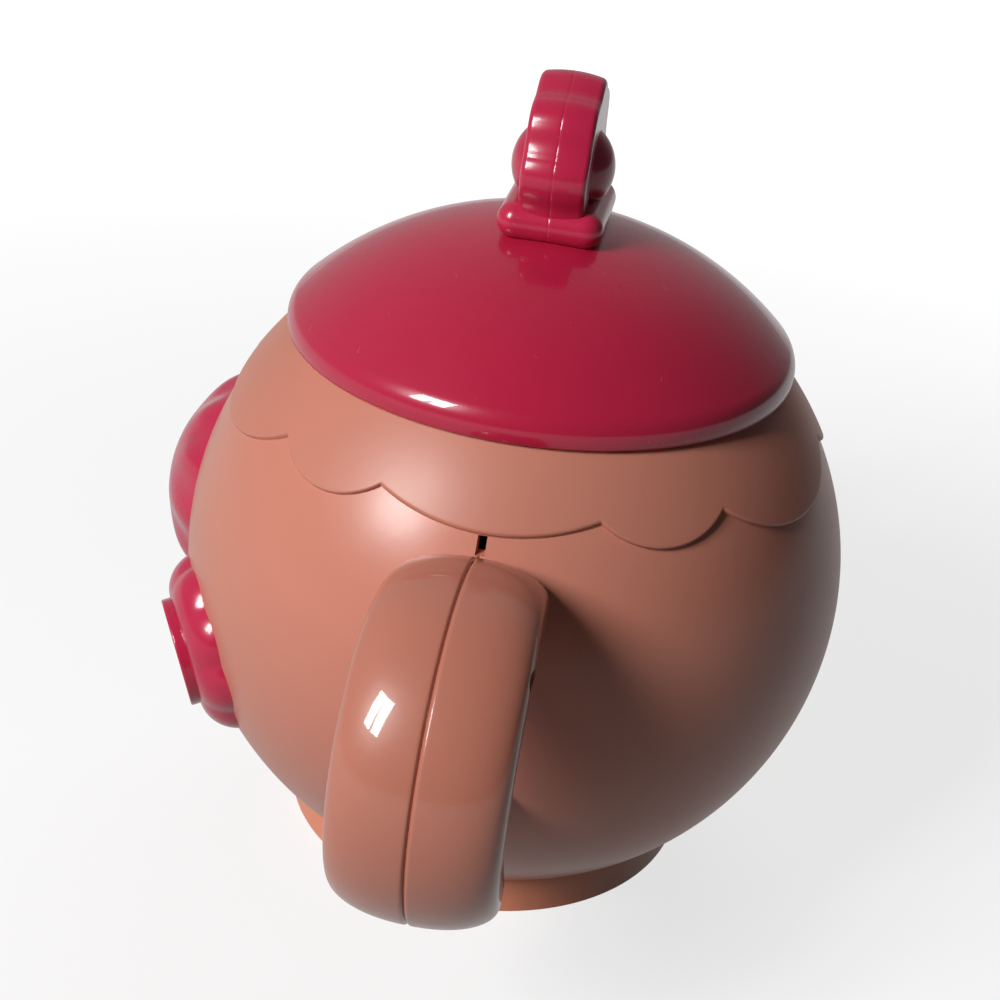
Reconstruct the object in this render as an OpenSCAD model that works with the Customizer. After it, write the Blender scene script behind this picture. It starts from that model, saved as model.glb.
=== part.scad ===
// Toy teapot: a ball-shaped body in two moulded halves, with a lift-off domed lid,
// a scalloped drip collar, flower ornaments and a press button that works a sound unit.
// The handle points to +X, the spout to -X and the ornaments to -Y. The table is at z = 0.

/* [Body] */
// Outer diameter of the ball-shaped body
body_d = 140; // [134:1:148]
// Wall of the moulded halves
wall = 2.4; // [1.8:0.1:3]
// Width of the groove where the halves meet
seam_w = 1; // [0.6:0.1:1.6]
// Depth of that groove
seam_depth = 0.6; // [0.3:0.1:1.2]
// Width of the open slot in the seam above the handle
slot_w = 1.4; // [1:0.1:2]
// Length of that slot below the collar's edge
slot_l = 3.2; // [2:0.1:4]

/* [Handle] */
// Distance of the handle ring's centre outside the ball
handle_out = 10.5; // [8:0.5:13]
// Height of the ring's centre above the ball's centre
handle_lift = 7; // [3:0.5:10]
// Outer diameter of the ring
handle_d = 63.6; // [60:0.2:68]
// Diameter of the finger hole
handle_hole_d = 35; // [32:0.5:38]
// Width of the handle across the seam
handle_w = 28; // [25:0.5:31]
// Rounding of the handle's edges
handle_round = 6.8; // [5:0.2:7]

/* [Spout] */
// Tilt of the spout above the horizontal, in degrees
spout_tilt = 45; // [40:1:50]
// Length of the spout's axis
spout_l = 80; // [74:1:86]
// Diameter of its root inside the body, as a share of the body's
spout_root_share = 0.34; // [0.3:0.01:0.34]
// Diameter of its mouth
spout_tip_d = 25; // [22:0.5:28]
// Thickness of the bead around the mouth
spout_bead_d = 4; // [3:0.2:5]
// Distance of the root behind the body's axis, as a share of the ball's radius
spout_back_share = 0.6; // [0.57:0.01:0.61]
// Depth of the root below the ball's centre, as a share of the ball's radius
spout_drop_share = 0.27; // [0.23:0.01:0.28]
// Depth of the open bore behind the mouth
spout_bore_l = 26; // [20:1:30]

/* [Mouth, collar and bowl] */
// Direction of the lid's seat above the equator, in degrees
seat_lat = 45; // [44.4:0.1:45.6]
// Width of the seat, from the collar's edge to the opening under the lid
seat_w = 5.6; // [4.8:0.2:7]
// Thickness of the collar's top ring
seat_t = 2.1; // [1.6:0.1:2.6]
// How far the collar stands proud of the ball
collar_t = 1; // [0.7:0.1:1.4]
// Thickness of the bowl's flange
flange_t = 1.6; // [1.2:0.1:2]
// Wall of the bowl
bowl_wall = 1.6; // [1.2:0.1:2]
// Depth of the bowl below its flange
bowl_depth = 46; // [40:1:50]
// Height of the bowl's upright upper part
bowl_upright = 8; // [5:1:12]

/* [Lid] */
// How far the lid's rim reaches out past the seat
lid_past = 1.3; // [0.4:0.1:2.2]
// Radius of the domed top
dome_r = 72; // [70:0.5:74]
// Radius of the rounded rim
rim_r = 5.6; // [4.8:0.2:6.4]
// Height of the rim's middle above the lid's lower edge
rim_lift = 1.83; // [1.4:0.01:1.95]
// Wall of the dome
lid_wall = 2.2; // [1.8:0.1:2.8]
// Depth of the plug that keeps the lid in the mouth
plug_h = 8; // [5:0.5:11]
// Wall of the plug
plug_t = 2; // [1.5:0.1:2.5]

/* [Knob] */
// Height of the knob flower's centre above the dome's top
knob_lift = 11.5; // [9.6:0.1:13.6]
// Thickness of the flower
knob_t = 12; // [10:0.5:14]
// Diameter of each petal
knob_petal_d = 12; // [11.4:0.2:12.6]
// Diameter of the circle of petal centres
knob_ring_d = 22; // [21:0.2:23]
// Diameter of the bead on each face
knob_bead_d = 15; // [12:0.2:17]
// How far the bead sits below the flower's centre
knob_bead_drop = 1; // [0:0.2:2]
// Height of that bead
knob_bead_h = 3.8; // [2.4:0.1:4.4]
// Length of the rounded foot
knob_foot_l = 29.4; // [27:0.2:32]
// Width of the rounded foot across the seam
knob_foot_w = 20.6; // [19:0.2:23]
// Thickness of the rounded foot
knob_foot_t = 7.2; // [6:0.2:8]

/* [Large flower] */
// Direction around the body's axis, from the handle, in degrees
large_az = -98; // [-104:1:-96]
// Direction above the equator, in degrees
large_lat = 2.4; // [0:0.2:8]
// Diameter over the petals
large_d = 50; // [46:0.5:52]
// Height of the domed middle above the ball
large_h = 10; // [8:0.2:11]
// Diameter of each round petal
large_petal_d = 11; // [10.6:0.2:12]
// Wall of the domed middle
large_wall = 2.4; // [1.8:0.1:3]

/* [Flower button] */
// Distance along the ball from the large flower's middle
flower_apart = 48.66; // [47.4:0.02:54]
// Direction of that way, from straight up towards the handle, in degrees
apart_turn = 115; // [108:1:122]
// Diameter over the petals
flower_d = 39.6; // [38:0.2:42]
// Diameter of each round petal
flower_petal_d = 13.4; // [12.4:0.2:14.4]
// Height of the petals above the ball
flower_h = 3.8; // [3:0.1:4.2]
// Diameter of the button's disc
button_d = 22.6; // [20:0.2:23]
// Thickness of the disc
button_t = 1.6; // [1.2:0.1:2.2]
// Height of the disc's raised rim
button_rim_h = 0.6; // [0.3:0.1:1]
// Width of that rim
button_rim_w = 1.2; // [0.8:0.1:2]
// Height of the disc's underside above the ball
button_lift = 2.9; // [2.8:0.1:3.6]
// Travel of the button when it is pressed
button_travel = 2; // [1.5:0.1:2]
// Diameter of the button's stem
stem_d = 16; // [13:0.2:17]
// Length of the stem below the ball's surface
stem_l = 9; // [8:0.5:11]
// Outer diameter of the clip on the stem
clip_d = 20.8; // [19.4:0.2:22]
// Thickness of the clip
clip_t = 1.3; // [1:0.1:1.6]
// Depth of the groove that holds the clip
clip_groove = 0.8; // [0.5:0.1:1.2]
// Length of the return spring at rest
spring_l = 6; // [5:0.2:8]
// Diameter of the spring at the middle of its wire
spring_d = 8; // [6:0.2:10]
// Diameter of the spring's wire
spring_wire = 0.8; // [0.6:0.1:0.9]

/* [Base] */
// Outer diameter of the foot ring
foot_d = 90.6; // [88:0.2:92]
// Height of the foot ring
foot_h = 8.63; // [7.2:0.01:10]
// Wall of the foot ring
foot_wall = 3; // [2.4:0.1:3.6]
// Height of the floor plate above the table
floor_gap = 3; // [2.6:0.1:3.4]
// Thickness of the floor plate
plate_t = 3.2; // [2.8:0.1:3.6]
// Height of the lip that locates the base in the body
lip_h = 2.4; // [1.6:0.1:3.2]
// Wall of that lip
lip_t = 2; // [1.6:0.1:2.6]

/* [Sound unit] */
// Diameter of a battery cell
cell_d = 14.2; // [13.6:0.1:14.5]
// Length of a battery cell
cell_l = 50.2; // [48:0.1:50.6]
// Wall of the battery bay
bay_wall = 2; // [1.6:0.1:2.4]
// Distance of the bay's middle from the body's axis
bay_back = 12; // [11.4:0.1:13]
// Thickness of the battery door
door_t = 1.8; // [1.4:0.1:2]
// Margin of the door around the bay
door_margin = 1.4; // [1:0.1:1.6]
// Diameter of the speaker
speaker_d = 28; // [24:0.5:28.5]
// Height of the speaker's frame
speaker_h = 5; // [4:0.2:7]
// Distance of the speaker's middle from the body's axis
speaker_out = 22.4; // [22:0.1:22.8]
// Width of the sound board
board_w = 28; // [24:0.5:30]
// Length of the sound board
board_l = 46; // [40:0.5:52]
// Thickness of the boards
board_t = 1.6; // [1:0.1:2]
// Travel of the power switch
slider_travel = 3; // [2:0.1:3.4]

/* [Fasteners] */
// Diameter of a screw's thread
screw_d = 2.6; // [2.2:0.1:3]
// Diameter of a screw's head
screw_head_d = 5; // [4.4:0.1:5.6]
// Thickness of a screw's head
screw_head_t = 1.8; // [1.4:0.1:2.2]

/* [Hidden] */
$fn = 96;
// Overrun of every cut past the face that it opens
over = 1;
// Gap between fixed pieces that seat on each other
snug = 0.1;
// Gap around pieces that move
run = 0.35;

ball_r = body_d / 2;
ball_inner_r = ball_r - wall;
seat_r = (ball_r + collar_t) * cos(seat_lat);
seat_rise = (ball_r + collar_t) * sin(seat_lat);
mouth_r = seat_r - seat_w;
flange_top = seat_rise - seat_t;
body_top = flange_top - flange_t;
foot_r = foot_d / 2;
foot_depth = sqrt(pow(ball_r, 2) - pow(foot_r, 2));
body_rise = foot_h + foot_depth;
opening_r = sqrt(pow(ball_inner_r, 2) - pow(foot_depth, 2));
handle_reach = ball_r + handle_out;
reach = 2 * body_d;

// Collar scallops: the cusps between them, and how low each one reaches, in degrees
cusp_az = [-20.2, 20.2, 44.5, 88, 112.3, 155.8, 204.2];
low_lat = [31.2, 30.2, 28, 30.2, 28, 31.2];
cusp_lat = 34.3;
band_lat = 36;

// Spout: its radius falls from root to mouth along this power of the way left
spout_taper_share = 2.2;
spout_root_d = spout_root_share * body_d;
spout_steps = 14;

// Lid: the rim's arc is tangent inside the dome's sphere
lid_bottom = seat_rise + run;
rim_centre_r = seat_r + lid_past - rim_r;
rim_centre_z = lid_bottom + rim_lift;
dome_centre = rim_centre_z - sqrt(pow(dome_r - rim_r, 2) - pow(rim_centre_r, 2));
dome_rise = dome_centre + dome_r;
arc_steps = 12;

// Knob
knob_petals = 8;
knob_rise = dome_rise + knob_lift;
knob_foot_rise = dome_rise + knob_foot_t / 4;
knob_screw_shares = [0.54, 0.56];

// Flowers
large_petals = 12;
flower_petals = 9;
large_ring_r = (large_d - large_petal_d) / 2;
flower_ring_r = (flower_d - flower_petal_d) / 2;
flower_turn = 8;
flower_angle = flower_apart / ball_r * 180 / PI;
flower_lat = asin(sin(large_lat) * cos(flower_angle)
    + cos(large_lat) * sin(flower_angle) * cos(apart_turn));
flower_az = large_az + atan2(sin(apart_turn) * sin(flower_angle) * cos(large_lat),
    cos(flower_angle) - sin(large_lat) * sin(flower_lat));
peg_d = 3;
peg_l = 3;
peg_count = 3;
peg_turn = 28;
well_floor = button_lift - button_travel - run;
clip_top = sqrt(pow(ball_inner_r, 2) - pow(clip_d / 2, 2)) - ball_r - run;
switch_face = -stem_l - spring_l;
switch_board_w = 18;
switch_post_d = 5;
switch_post_y = clip_d / 2 + switch_post_d / 2 + 2 * run;
spring_turns = 3;

// Case screws: places in the seam plane, as shares of the ball's radius and turns round the ring
case_post_d = 8;
case_web = 4;
case_grip = 9;
body_post_shares = [[-0.72, -0.48], [-0.75, 0.4]];
handle_post_turns = [62, -62];

// Base
plate_top = floor_gap + plate_t;
lip_r = opening_r - run;
base_post_d = 7;
base_post_h = 8;
base_post_r = foot_r - foot_wall - base_post_d / 2 + over;
base_screw_turns = [-165, -75, 75, 165];
head_cover = 2;

// Battery bay
cells = 2;
cell_gap = 0.3;
contact_room = 1.9;
contact_t = 0.4;
contact_share = 0.72;
bay_x = cells * cell_d + (cells + 1) * cell_gap;
bay_y = cell_l + 2 * contact_room;
cell_axis = floor_gap + door_t + cell_gap + cell_d / 2;
bay_ceiling = cell_axis + cell_d / 2 + cell_gap;
bay_top = bay_ceiling + bay_wall;
door_ear_d = 9;
door_ear_x = -bay_back - bay_x / 2 - door_margin - door_ear_d / 3;
door_screw_l = 7;

// Speaker
speaker_r = speaker_d / 2;
speaker_wall = 1.5;
speaker_seat_h = 2.4;
cone_t = 0.6;
grille_d = 2;
grille_ring_share = 0.31;

// Sound board
board_post_d = 5;
board_post_h = 4;
board_z = bay_top + board_post_h;
board_screw_l = 5;
chip_shares = [0.3, 0.22];
chip_h = 1.4;
can_d = 6;
can_h = 7;

// Power switch
switch_x = 15;
switch_y = 27.5;
switch_l = 11;
switch_d = 7;
switch_h = 5;
slider_l = 3.6;
slider_t = 2.6;
slider_head = 1.6;
slider_reach = 1.4;
switch_skin = 1.2;

// Wires
wire_d = 1.6;
wire_sides = 8;
wire_rings = 20;

tan_plastic = "#d68f7a";
tan_light = "#dc9a80";
red_plastic = "#c8324f";
white_plastic = "#e8e2d8";
steel = "#b8b8bc";
board_green = "#2f6b45";
dark_plastic = "#2c2c30";

// Points of an arc around [x, y] from angle a0 to angle a1
function arc(x, y, r, a0, a1) =
    [for (i = [0 : arc_steps]) let (a = a0 + (a1 - a0) * i / arc_steps) [x + r * cos(a), y + r * sin(a)]];

// Moves children to the ball's centre
module at_centre() {
    translate([0, 0, body_rise]) children();
}

// Moves children to the ball's surface, with their +Z pointing straight out
module on_ball(az, lat) {
    at_centre() rotate([0, 90 - lat, az]) translate([0, 0, ball_r]) children();
}

// A ball around the body's centre
module ball(r) {
    at_centre() sphere(r = r);
}

// All the space between two heights above the ball's centre
module slab(low, high) {
    at_centre() translate([-reach / 2, -reach / 2, low]) cube([reach, reach, high - low]);
}

// All the space on one side of the seam plane: -1 is the front, 1 the back
module side_of_seam(side) {
    translate([-reach / 2, side > 0 ? 0 : -reach, -reach / 2]) cube([reach, reach, reach]);
}

// A screw with its head's underside at zero, its thread down and a cross slot on top
module screw(l) {
    difference() {
        union() {
            translate([0, 0, -l]) cylinder(h = l, d = screw_d);
            cylinder(h = screw_head_t, d = screw_head_d);
        }
        for (turn = [0, 90])
            rotate([0, 0, turn])
                translate([-screw_head_d / 4, -screw_head_d / 12, screw_head_t / 2])
                    cube([screw_head_d / 2, screw_head_d / 6, screw_head_t]);
    }
}

// One half of the handle ring's section, drawn in by a depth and run past the seam by a length
module handle_section(depth, past) {
    l = (handle_d - handle_hole_d) / 2 - 2 * depth;
    w = handle_w / 2 - depth;
    r = min(handle_round, (handle_d - handle_hole_d) / 4 - snug) - depth;
    translate([(handle_d + handle_hole_d) / 4, 0]) {
        translate([-l / 2, -past]) square([l, w - r + past]);
        translate([-l / 2 + r, 0]) square([l - 2 * r, w]);
        for (x = [-1, 1])
            translate([x * (l / 2 - r), w - r]) circle(r = r);
    }
}

// Moves children to the handle ring's axis, with their +Z to the front
module at_handle() {
    at_centre() translate([handle_reach, 0, handle_lift]) rotate([90, 0, 0]) children();
}

// The front half of the handle ring, with its share of the seam's groove
module handle_half() {
    at_handle() rotate_extrude() difference() {
        handle_section(0, 0);
        translate([handle_d / 2, 0])
            polygon([[-seam_depth, 0], [over, seam_w], [over, -over], [-seam_depth, -over]]);
    }
}

// Radius of the spout at a share of the way from root to mouth
function spout_r(share) =
    spout_tip_d / 2 + (spout_root_d - spout_tip_d) / 2 * pow(1 - share, spout_taper_share);

// Moves children to the spout's root, with their +Z along its axis
module at_spout() {
    at_centre() translate([-spout_back_share * ball_r, 0, -spout_drop_share * ball_r])
        rotate([0, spout_tilt - 90, 0]) children();
}

// The spout's round form between two shares of its length, drawn in by a depth
module spout_form(from, to, depth) {
    edge = [for (i = [0 : spout_steps]) let (share = from + (to - from) * i / spout_steps)
        [spout_r(share) - depth, share * spout_l]];
    at_spout() rotate_extrude() polygon(concat([[0, from * spout_l]], edge, [[0, to * spout_l]]));
}

// Outside of the front half: ball, handle and spout
module body_outside() {
    difference() {
        intersection() {
            ball(ball_r);
            slab(-foot_depth, body_top);
            side_of_seam(-1);
        }
        at_centre() rotate([90, 0, 0]) rotate_extrude() translate([ball_r, 0])
            polygon([[-seam_depth, 0], [over, seam_w], [over, -seam_w]]);
    }
    handle_half();
    intersection() {
        union() {
            spout_form(0, 1, 0);
            at_spout() translate([0, 0, spout_l]) rotate_extrude()
                translate([spout_tip_d / 2, 0]) circle(d = spout_bead_d);
        }
        side_of_seam(-1);
    }
}

// Hollow inside of the body, with the spout's blind bore
module body_inside() {
    bore_share = 1 - spout_bore_l / spout_l;
    septum_share = bore_share - wall / spout_l;
    ball(ball_inner_r);
    at_handle() rotate_extrude() handle_section(wall, over);
    spout_form(0, septum_share, wall);
    spout_form(bore_share, 1, wall);
    at_spout() translate([0, 0, spout_l - over]) cylinder(h = spout_bead_d + over, r = spout_r(1) - wall);
}

// Place of the low screw post, clear of the speaker and of the base's lip, as [x, z] from the ball's centre
function low_post() =
    let (room = case_post_d / 2 + 2 * run, top = max(foot_h + lip_h, plate_top + speaker_h))
    [speaker_out + speaker_r / 2 + speaker_wall + room, top + room - body_rise];

// Places of the screw posts inside the ball, as [x, z] from its centre
function ball_posts() = concat([for (p = body_post_shares) p * ball_r], [low_post()]);

// Places of the screw posts inside the handle, as [x, z] from the ball's centre
function handle_posts() = [for (turn = handle_post_turns) let (r = (handle_d + handle_hole_d) / 4)
    [handle_reach + r * cos(turn), handle_lift + r * sin(turn)]];

// Moves children to a screw post, with their +Z pointing to the back
module at_post(p) {
    at_centre() translate([p[0], 0, p[1]]) rotate([-90, 0, 0]) children();
}

// The front half's posts for the case screws and the base screws
module body_posts() {
    for (p = handle_posts())
        at_post(p) mirror([0, 0, 1]) cylinder(h = handle_w / 2 - wall / 2, d = case_post_d);
    intersection() {
        union() {
            for (p = ball_posts())
                at_post(p) mirror([0, 0, 1]) cylinder(h = ball_r, d = case_post_d);
            for (turn = base_screw_turns)
                if (turn < 0) rotate([0, 0, turn]) translate([base_post_r, 0, foot_h + snug]) {
                    cylinder(h = base_post_h, d = base_post_d);
                    translate([0, -wall / 2, 0]) cube([base_post_h, wall, base_post_h]);
                }
        }
        ball(ball_r - wall / 2);
    }
}

// Moves children to the switch board's posts, at the board's outer face
module at_switch_posts() {
    on_ball(flower_az, flower_lat)
        for (end = [-1, 1])
            translate([0, end * switch_post_y, switch_face]) children();
}

// Cuts that both halves share: the seam slot and the base screws' bores
module body_cuts() {
    slot_top = ball_r * sin(low_lat[0]);
    at_centre()
        translate([ball_r * cos(low_lat[0]) - 2 * wall, -slot_w / 2, slot_top - slot_l])
            cube([3 * wall, slot_w, slot_l + collar_t]);
    at_base_screws()
        translate([0, 0, foot_h - over])
            cylinder(h = base_post_h - wall + over, d = screw_d + 2 * snug);
}

// Moves children to each peg of a flower
module at_pegs(ring_r) {
    for (i = [0 : peg_count - 1])
        rotate([0, 0, peg_turn + i * 360 / peg_count]) translate([ring_r, 0, 0]) children();
}

// A bore for a peg, through the wall
module peg_bore() {
    translate([0, 0, -stem_l]) cylinder(h = stem_l + over, d = peg_d + 2 * snug);
}

// The front half's shell and posts, before the bores for its own screws
module shell_half() {
    difference() {
        body_outside();
        body_inside();
    }
    body_posts();
}

module body_front_half() {
    color(tan_plastic) difference() {
        union() {
            shell_half();
            intersection() {
                at_switch_posts() cylinder(h = -switch_face, d = switch_post_d);
                ball(ball_r - wall / 2);
            }
        }
        body_cuts();
        for (p = concat(ball_posts(), handle_posts()))
            at_post(p) translate([0, 0, -case_grip]) cylinder(h = case_grip + over, d = screw_d + 2 * snug);
        at_switch_posts()
            translate([0, 0, -over]) cylinder(h = board_screw_l + over, d = screw_d + 2 * snug);
        on_ball(flower_az, flower_lat) {
            translate([0, 0, -stem_l]) cylinder(h = stem_l + over, d = stem_d + 2 * run);
            at_pegs(flower_ring_r) peg_bore();
        }
        on_ball(large_az, large_lat) at_pegs(large_ring_r) peg_bore();
    }
}

module body_back_half() {
    color(tan_plastic) difference() {
        mirror([0, 1, 0]) shell_half();
        body_cuts();
        for (p = concat(ball_posts(), handle_posts())) at_post(p) {
            translate([0, 0, -over]) cylinder(h = case_web + 2 * over, d = screw_d + 2 * run);
            translate([0, 0, case_web]) cylinder(h = body_d, d = screw_head_d + 2 * run);
        }
    }
}

// Latitude of the middle of the circle that carries a scallop
function scallop_lat(half_w, low) =
    atan((cos(cusp_lat) * cos(half_w) - cos(low)) / (sin(low) - sin(cusp_lat)));

// One scallop: a round patch of the ball's shell
module scallop(az, half_w, low) {
    lat = scallop_lat(half_w, low);
    at_centre() rotate([0, 90 - lat, az]) cylinder(h = body_d, r = ball_r * sin(lat - low));
}

module drip_collar() {
    color(tan_light) difference() {
        intersection() {
            union() {
                difference() {
                    ball(ball_r + collar_t);
                    ball(ball_r + snug);
                }
                intersection() {
                    ball(ball_r + collar_t);
                    slab(flange_top, seat_rise);
                }
            }
            union() {
                slab(ball_r * sin(band_lat), seat_rise);
                for (i = [0 : len(low_lat) - 1]) {
                    az = (cusp_az[i] + cusp_az[i + 1]) / 2;
                    half_w = (cusp_az[i + 1] - cusp_az[i]) / 2;
                    scallop(az, half_w, low_lat[i]);
                    if (az > 0 && az < 180) scallop(-az, half_w, low_lat[i]);
                }
            }
            slab(0, seat_rise);
        }
        at_centre() translate([0, 0, flange_top - over]) cylinder(h = seat_t + 2 * over, r = mouth_r);
    }
}

// Half section of the bowl, drawn out by a wall
function bowl_edge(t) = [for (i = [0 : arc_steps]) let (a = 90 * i / arc_steps)
    [(mouth_r + t) * cos(a), flange_top - bowl_upright - (bowl_depth - bowl_upright + t) * sin(a)]];

module inner_bowl() {
    flange_r = sqrt(pow(ball_r, 2) - pow(flange_top, 2)) - run;
    inside = bowl_edge(0);
    outside = bowl_edge(bowl_wall);
    color(tan_light) at_centre() rotate_extrude() polygon(concat(
        [for (i = [arc_steps : -1 : 0]) inside[i]],
        [[mouth_r, flange_top], [flange_r, flange_top]],
        [[flange_r, body_top], [mouth_r + bowl_wall, body_top]],
        outside));
}

// Half section of the dome's surface, drawn in by a depth, from the rim up to the top
function dome_edge(depth, bottom) =
    let (low = -asin((rim_centre_z - bottom) / (rim_r - depth)),
         meet = atan2(rim_centre_z - dome_centre, rim_centre_r))
    concat(arc(rim_centre_r, rim_centre_z, rim_r - depth, low, meet),
           arc(0, dome_centre, dome_r - depth, meet, 90));

// Places of the knob's screws on the lid, one in each half of the knob
function knob_screw_place(side) =
    [side * knob_screw_shares[0] * knob_foot_l / 2, side * knob_screw_shares[1] * knob_foot_w / 2];

// Height of the dome's inside where a knob screw's head sits
function knob_head_z() =
    let (p = knob_screw_place(1), r = norm(p) + screw_head_d / 2)
    dome_centre + sqrt(pow(dome_r - lid_wall, 2) - pow(r, 2)) - snug;

module lid_dome() {
    inside = dome_edge(lid_wall, lid_bottom);
    color(red_plastic) difference() {
        at_centre() rotate_extrude()
            polygon(concat(dome_edge(0, lid_bottom), [for (i = [len(inside) - 1 : -1 : 0]) inside[i]]));
        for (side = [-1, 1])
            at_centre() translate(concat(knob_screw_place(side), [dome_centre]))
                cylinder(h = dome_r, d = screw_d + 2 * snug);
    }
}

module lid_liner() {
    plug_r = mouth_r - run;
    inner_rim = rim_centre_r + sqrt(pow(rim_r - lid_wall, 2) - pow(rim_centre_z - lid_bottom, 2)) - snug;
    color(red_plastic) at_centre() rotate_extrude() polygon([
        [0, lid_bottom], [plug_r - plug_t, lid_bottom], [plug_r - plug_t, lid_bottom - plug_h],
        [plug_r, lid_bottom - plug_h], [plug_r, lid_bottom], [inner_rim, lid_bottom],
        [inner_rim, lid_bottom + plug_t], [0, lid_bottom + plug_t]]);
}

// The whole knob: flower, beads and rounded foot, seated on the dome
module knob_form() {
    bead_r = (pow(knob_bead_d / 2, 2) + pow(knob_bead_h, 2)) / (2 * knob_bead_h);
    corner = knob_foot_t / 2;
    at_centre() difference() {
        union() {
            translate([0, 0, knob_rise]) rotate([90, 0, 0]) {
                linear_extrude(knob_t, center = true) {
                    circle(d = knob_ring_d);
                    for (i = [0 : knob_petals - 1])
                        rotate([0, 0, i * 360 / knob_petals])
                            translate([0, knob_ring_d / 2]) circle(d = knob_petal_d);
                }
                for (face = [-1, 1])
                    translate([0, -knob_bead_drop, face * (knob_t / 2 + knob_bead_h - bead_r)])
                        sphere(r = bead_r);
            }
            hull()
                for (x = [-1, 1], y = [-1, 1])
                    translate([x * (knob_foot_l / 2 - corner), y * (knob_foot_w / 2 - corner), 0])
                        translate([0, 0, knob_foot_rise]) sphere(d = knob_foot_t, $fn = 32);
        }
        translate([0, 0, dome_centre]) sphere(r = dome_r + snug);
    }
}

// One half of the knob, with its pilot bore
module knob_half(side) {
    color(red_plastic) difference() {
        intersection() {
            knob_form();
            at_centre() side_of_seam(side);
        }
        at_centre() translate(concat(knob_screw_place(side), [dome_centre]))
            cylinder(h = knob_foot_rise - dome_centre + snug, d = screw_d + 2 * snug);
    }
}

module knob_front_half() {
    knob_half(-1);
}

module knob_back_half() {
    knob_half(1);
}

module knob_screws() {
    color(steel)
        for (side = [-1, 1])
            at_centre() translate(concat(knob_screw_place(side), [knob_head_z()]))
                rotate([180, 0, 0]) screw(knob_foot_rise - knob_head_z());
}

module large_flower() {
    edge_z = sqrt(pow(ball_r, 2) - pow(large_d / 2, 2)) - ball_r;
    cap_h = large_h - edge_z;
    cap_r = (pow(large_d / 2, 2) + pow(cap_h, 2)) / (2 * cap_h);
    petal_z = sqrt(pow(ball_r, 2) - pow(large_ring_r, 2)) - ball_r - collar_t / 2;
    color(red_plastic) on_ball(large_az, large_lat) {
        difference() {
            for (i = [0 : large_petals - 1])
                rotate([0, 0, i * 360 / large_petals])
                    translate([large_ring_r, 0, petal_z]) sphere(d = large_petal_d);
            translate([0, 0, -large_d]) cylinder(h = 2 * large_d, r = large_ring_r - large_wall);
            translate([0, 0, -ball_r]) sphere(r = ball_r + snug);
        }
        difference() {
            intersection() {
                translate([0, 0, large_h - cap_r]) difference() {
                    sphere(r = cap_r);
                    sphere(r = cap_r - large_wall);
                }
                translate([0, 0, edge_z]) cylinder(h = large_d, r = large_ring_r - large_wall / 3);
            }
            translate([0, 0, -ball_r]) sphere(r = ball_r + snug);
        }
        at_pegs(large_ring_r) translate([0, 0, petal_z - wall - peg_l])
            cylinder(h = wall + peg_l + large_petal_d / 4, d = peg_d);
    }
}

module flower_bezel() {
    petal_z = flower_h - flower_petal_d / 2;
    well_r = button_d / 2 + run;
    color(red_plastic) on_ball(flower_az, flower_lat) {
        difference() {
            union() {
                difference() {
                    for (i = [0 : flower_petals - 1])
                        rotate([0, 0, flower_turn + i * 360 / flower_petals])
                            translate([flower_ring_r, 0, petal_z]) sphere(d = flower_petal_d);
                    translate([0, 0, -flower_d]) cylinder(h = 2 * flower_d, r = well_r);
                }
                difference() {
                    translate([0, 0, -2 * wall]) cylinder(h = well_floor + 2 * wall, r = well_r + wall / 2);
                    translate([0, 0, -flower_d]) cylinder(h = 2 * flower_d, d = stem_d + 2 * run);
                }
            }
            translate([0, 0, -ball_r]) sphere(r = ball_r + snug);
        }
        at_pegs(flower_ring_r) translate([0, 0, -wall - peg_l]) cylinder(h = wall + peg_l, d = peg_d);
    }
}

module flower_button() {
    color(red_plastic) on_ball(flower_az, flower_lat) difference() {
        union() {
            translate([0, 0, -stem_l]) cylinder(h = stem_l + button_lift + button_t, d = stem_d);
            translate([0, 0, button_lift]) cylinder(h = button_t + button_rim_h, d = button_d);
        }
        translate([0, 0, button_lift + button_t])
            cylinder(h = button_rim_h + over, d = button_d - 2 * button_rim_w);
        translate([0, 0, clip_top - clip_t - snug]) difference() {
            cylinder(h = clip_t + 2 * snug, d = stem_d + over);
            cylinder(h = clip_t + 2 * snug, d = stem_d - 2 * clip_groove);
        }
    }
}

module button_clip() {
    color(white_plastic) on_ball(flower_az, flower_lat)
        translate([0, 0, clip_top - clip_t]) difference() {
            cylinder(h = clip_t, d = clip_d);
            translate([0, 0, -over]) cylinder(h = clip_t + 2 * over, d = stem_d - 2 * clip_groove + 2 * snug);
        }
}

// A tube of a given thickness swept along points that lie close together
module sweep(points, d, sides) {
    last = len(points) - 1;
    rings = [for (i = [0 : last])
        let (ahead = points[min(i + 1, last)] - points[max(i - 1, 0)],
             along = ahead / norm(ahead),
             level = cross(along, abs(along[2]) < 0.9 ? [0, 0, 1] : [1, 0, 0]),
             side = level / norm(level),
             rise = cross(side, along))
        for (k = [0 : sides - 1])
            let (a = 360 * k / sides) points[i] + d / 2 * (cos(a) * side + sin(a) * rise)];
    polyhedron(rings, concat(
        [[for (k = [0 : sides - 1]) k]],
        [for (i = [0 : last - 1], k = [0 : sides - 1])
            let (n = (k + 1) % sides) [i * sides + k, (i + 1) * sides + k, (i + 1) * sides + n]],
        [for (i = [0 : last - 1], k = [0 : sides - 1])
            let (n = (k + 1) % sides) [i * sides + k, (i + 1) * sides + n, i * sides + n]],
        [[for (k = [sides - 1 : -1 : 0]) last * sides + k]]), convexity = 10);
}

module button_spring() {
    coil_steps = 12;
    count = spring_turns * coil_steps;
    rise = spring_l - spring_wire - 2 * snug;
    points = [for (i = [0 : count]) let (a = 360 * i / coil_steps)
        [spring_d / 2 * cos(a), spring_d / 2 * sin(a), rise * i / count]];
    color(steel) on_ball(flower_az, flower_lat)
        translate([0, 0, switch_face + spring_wire / 2 + snug]) sweep(points, spring_wire, 6);
}

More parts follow.
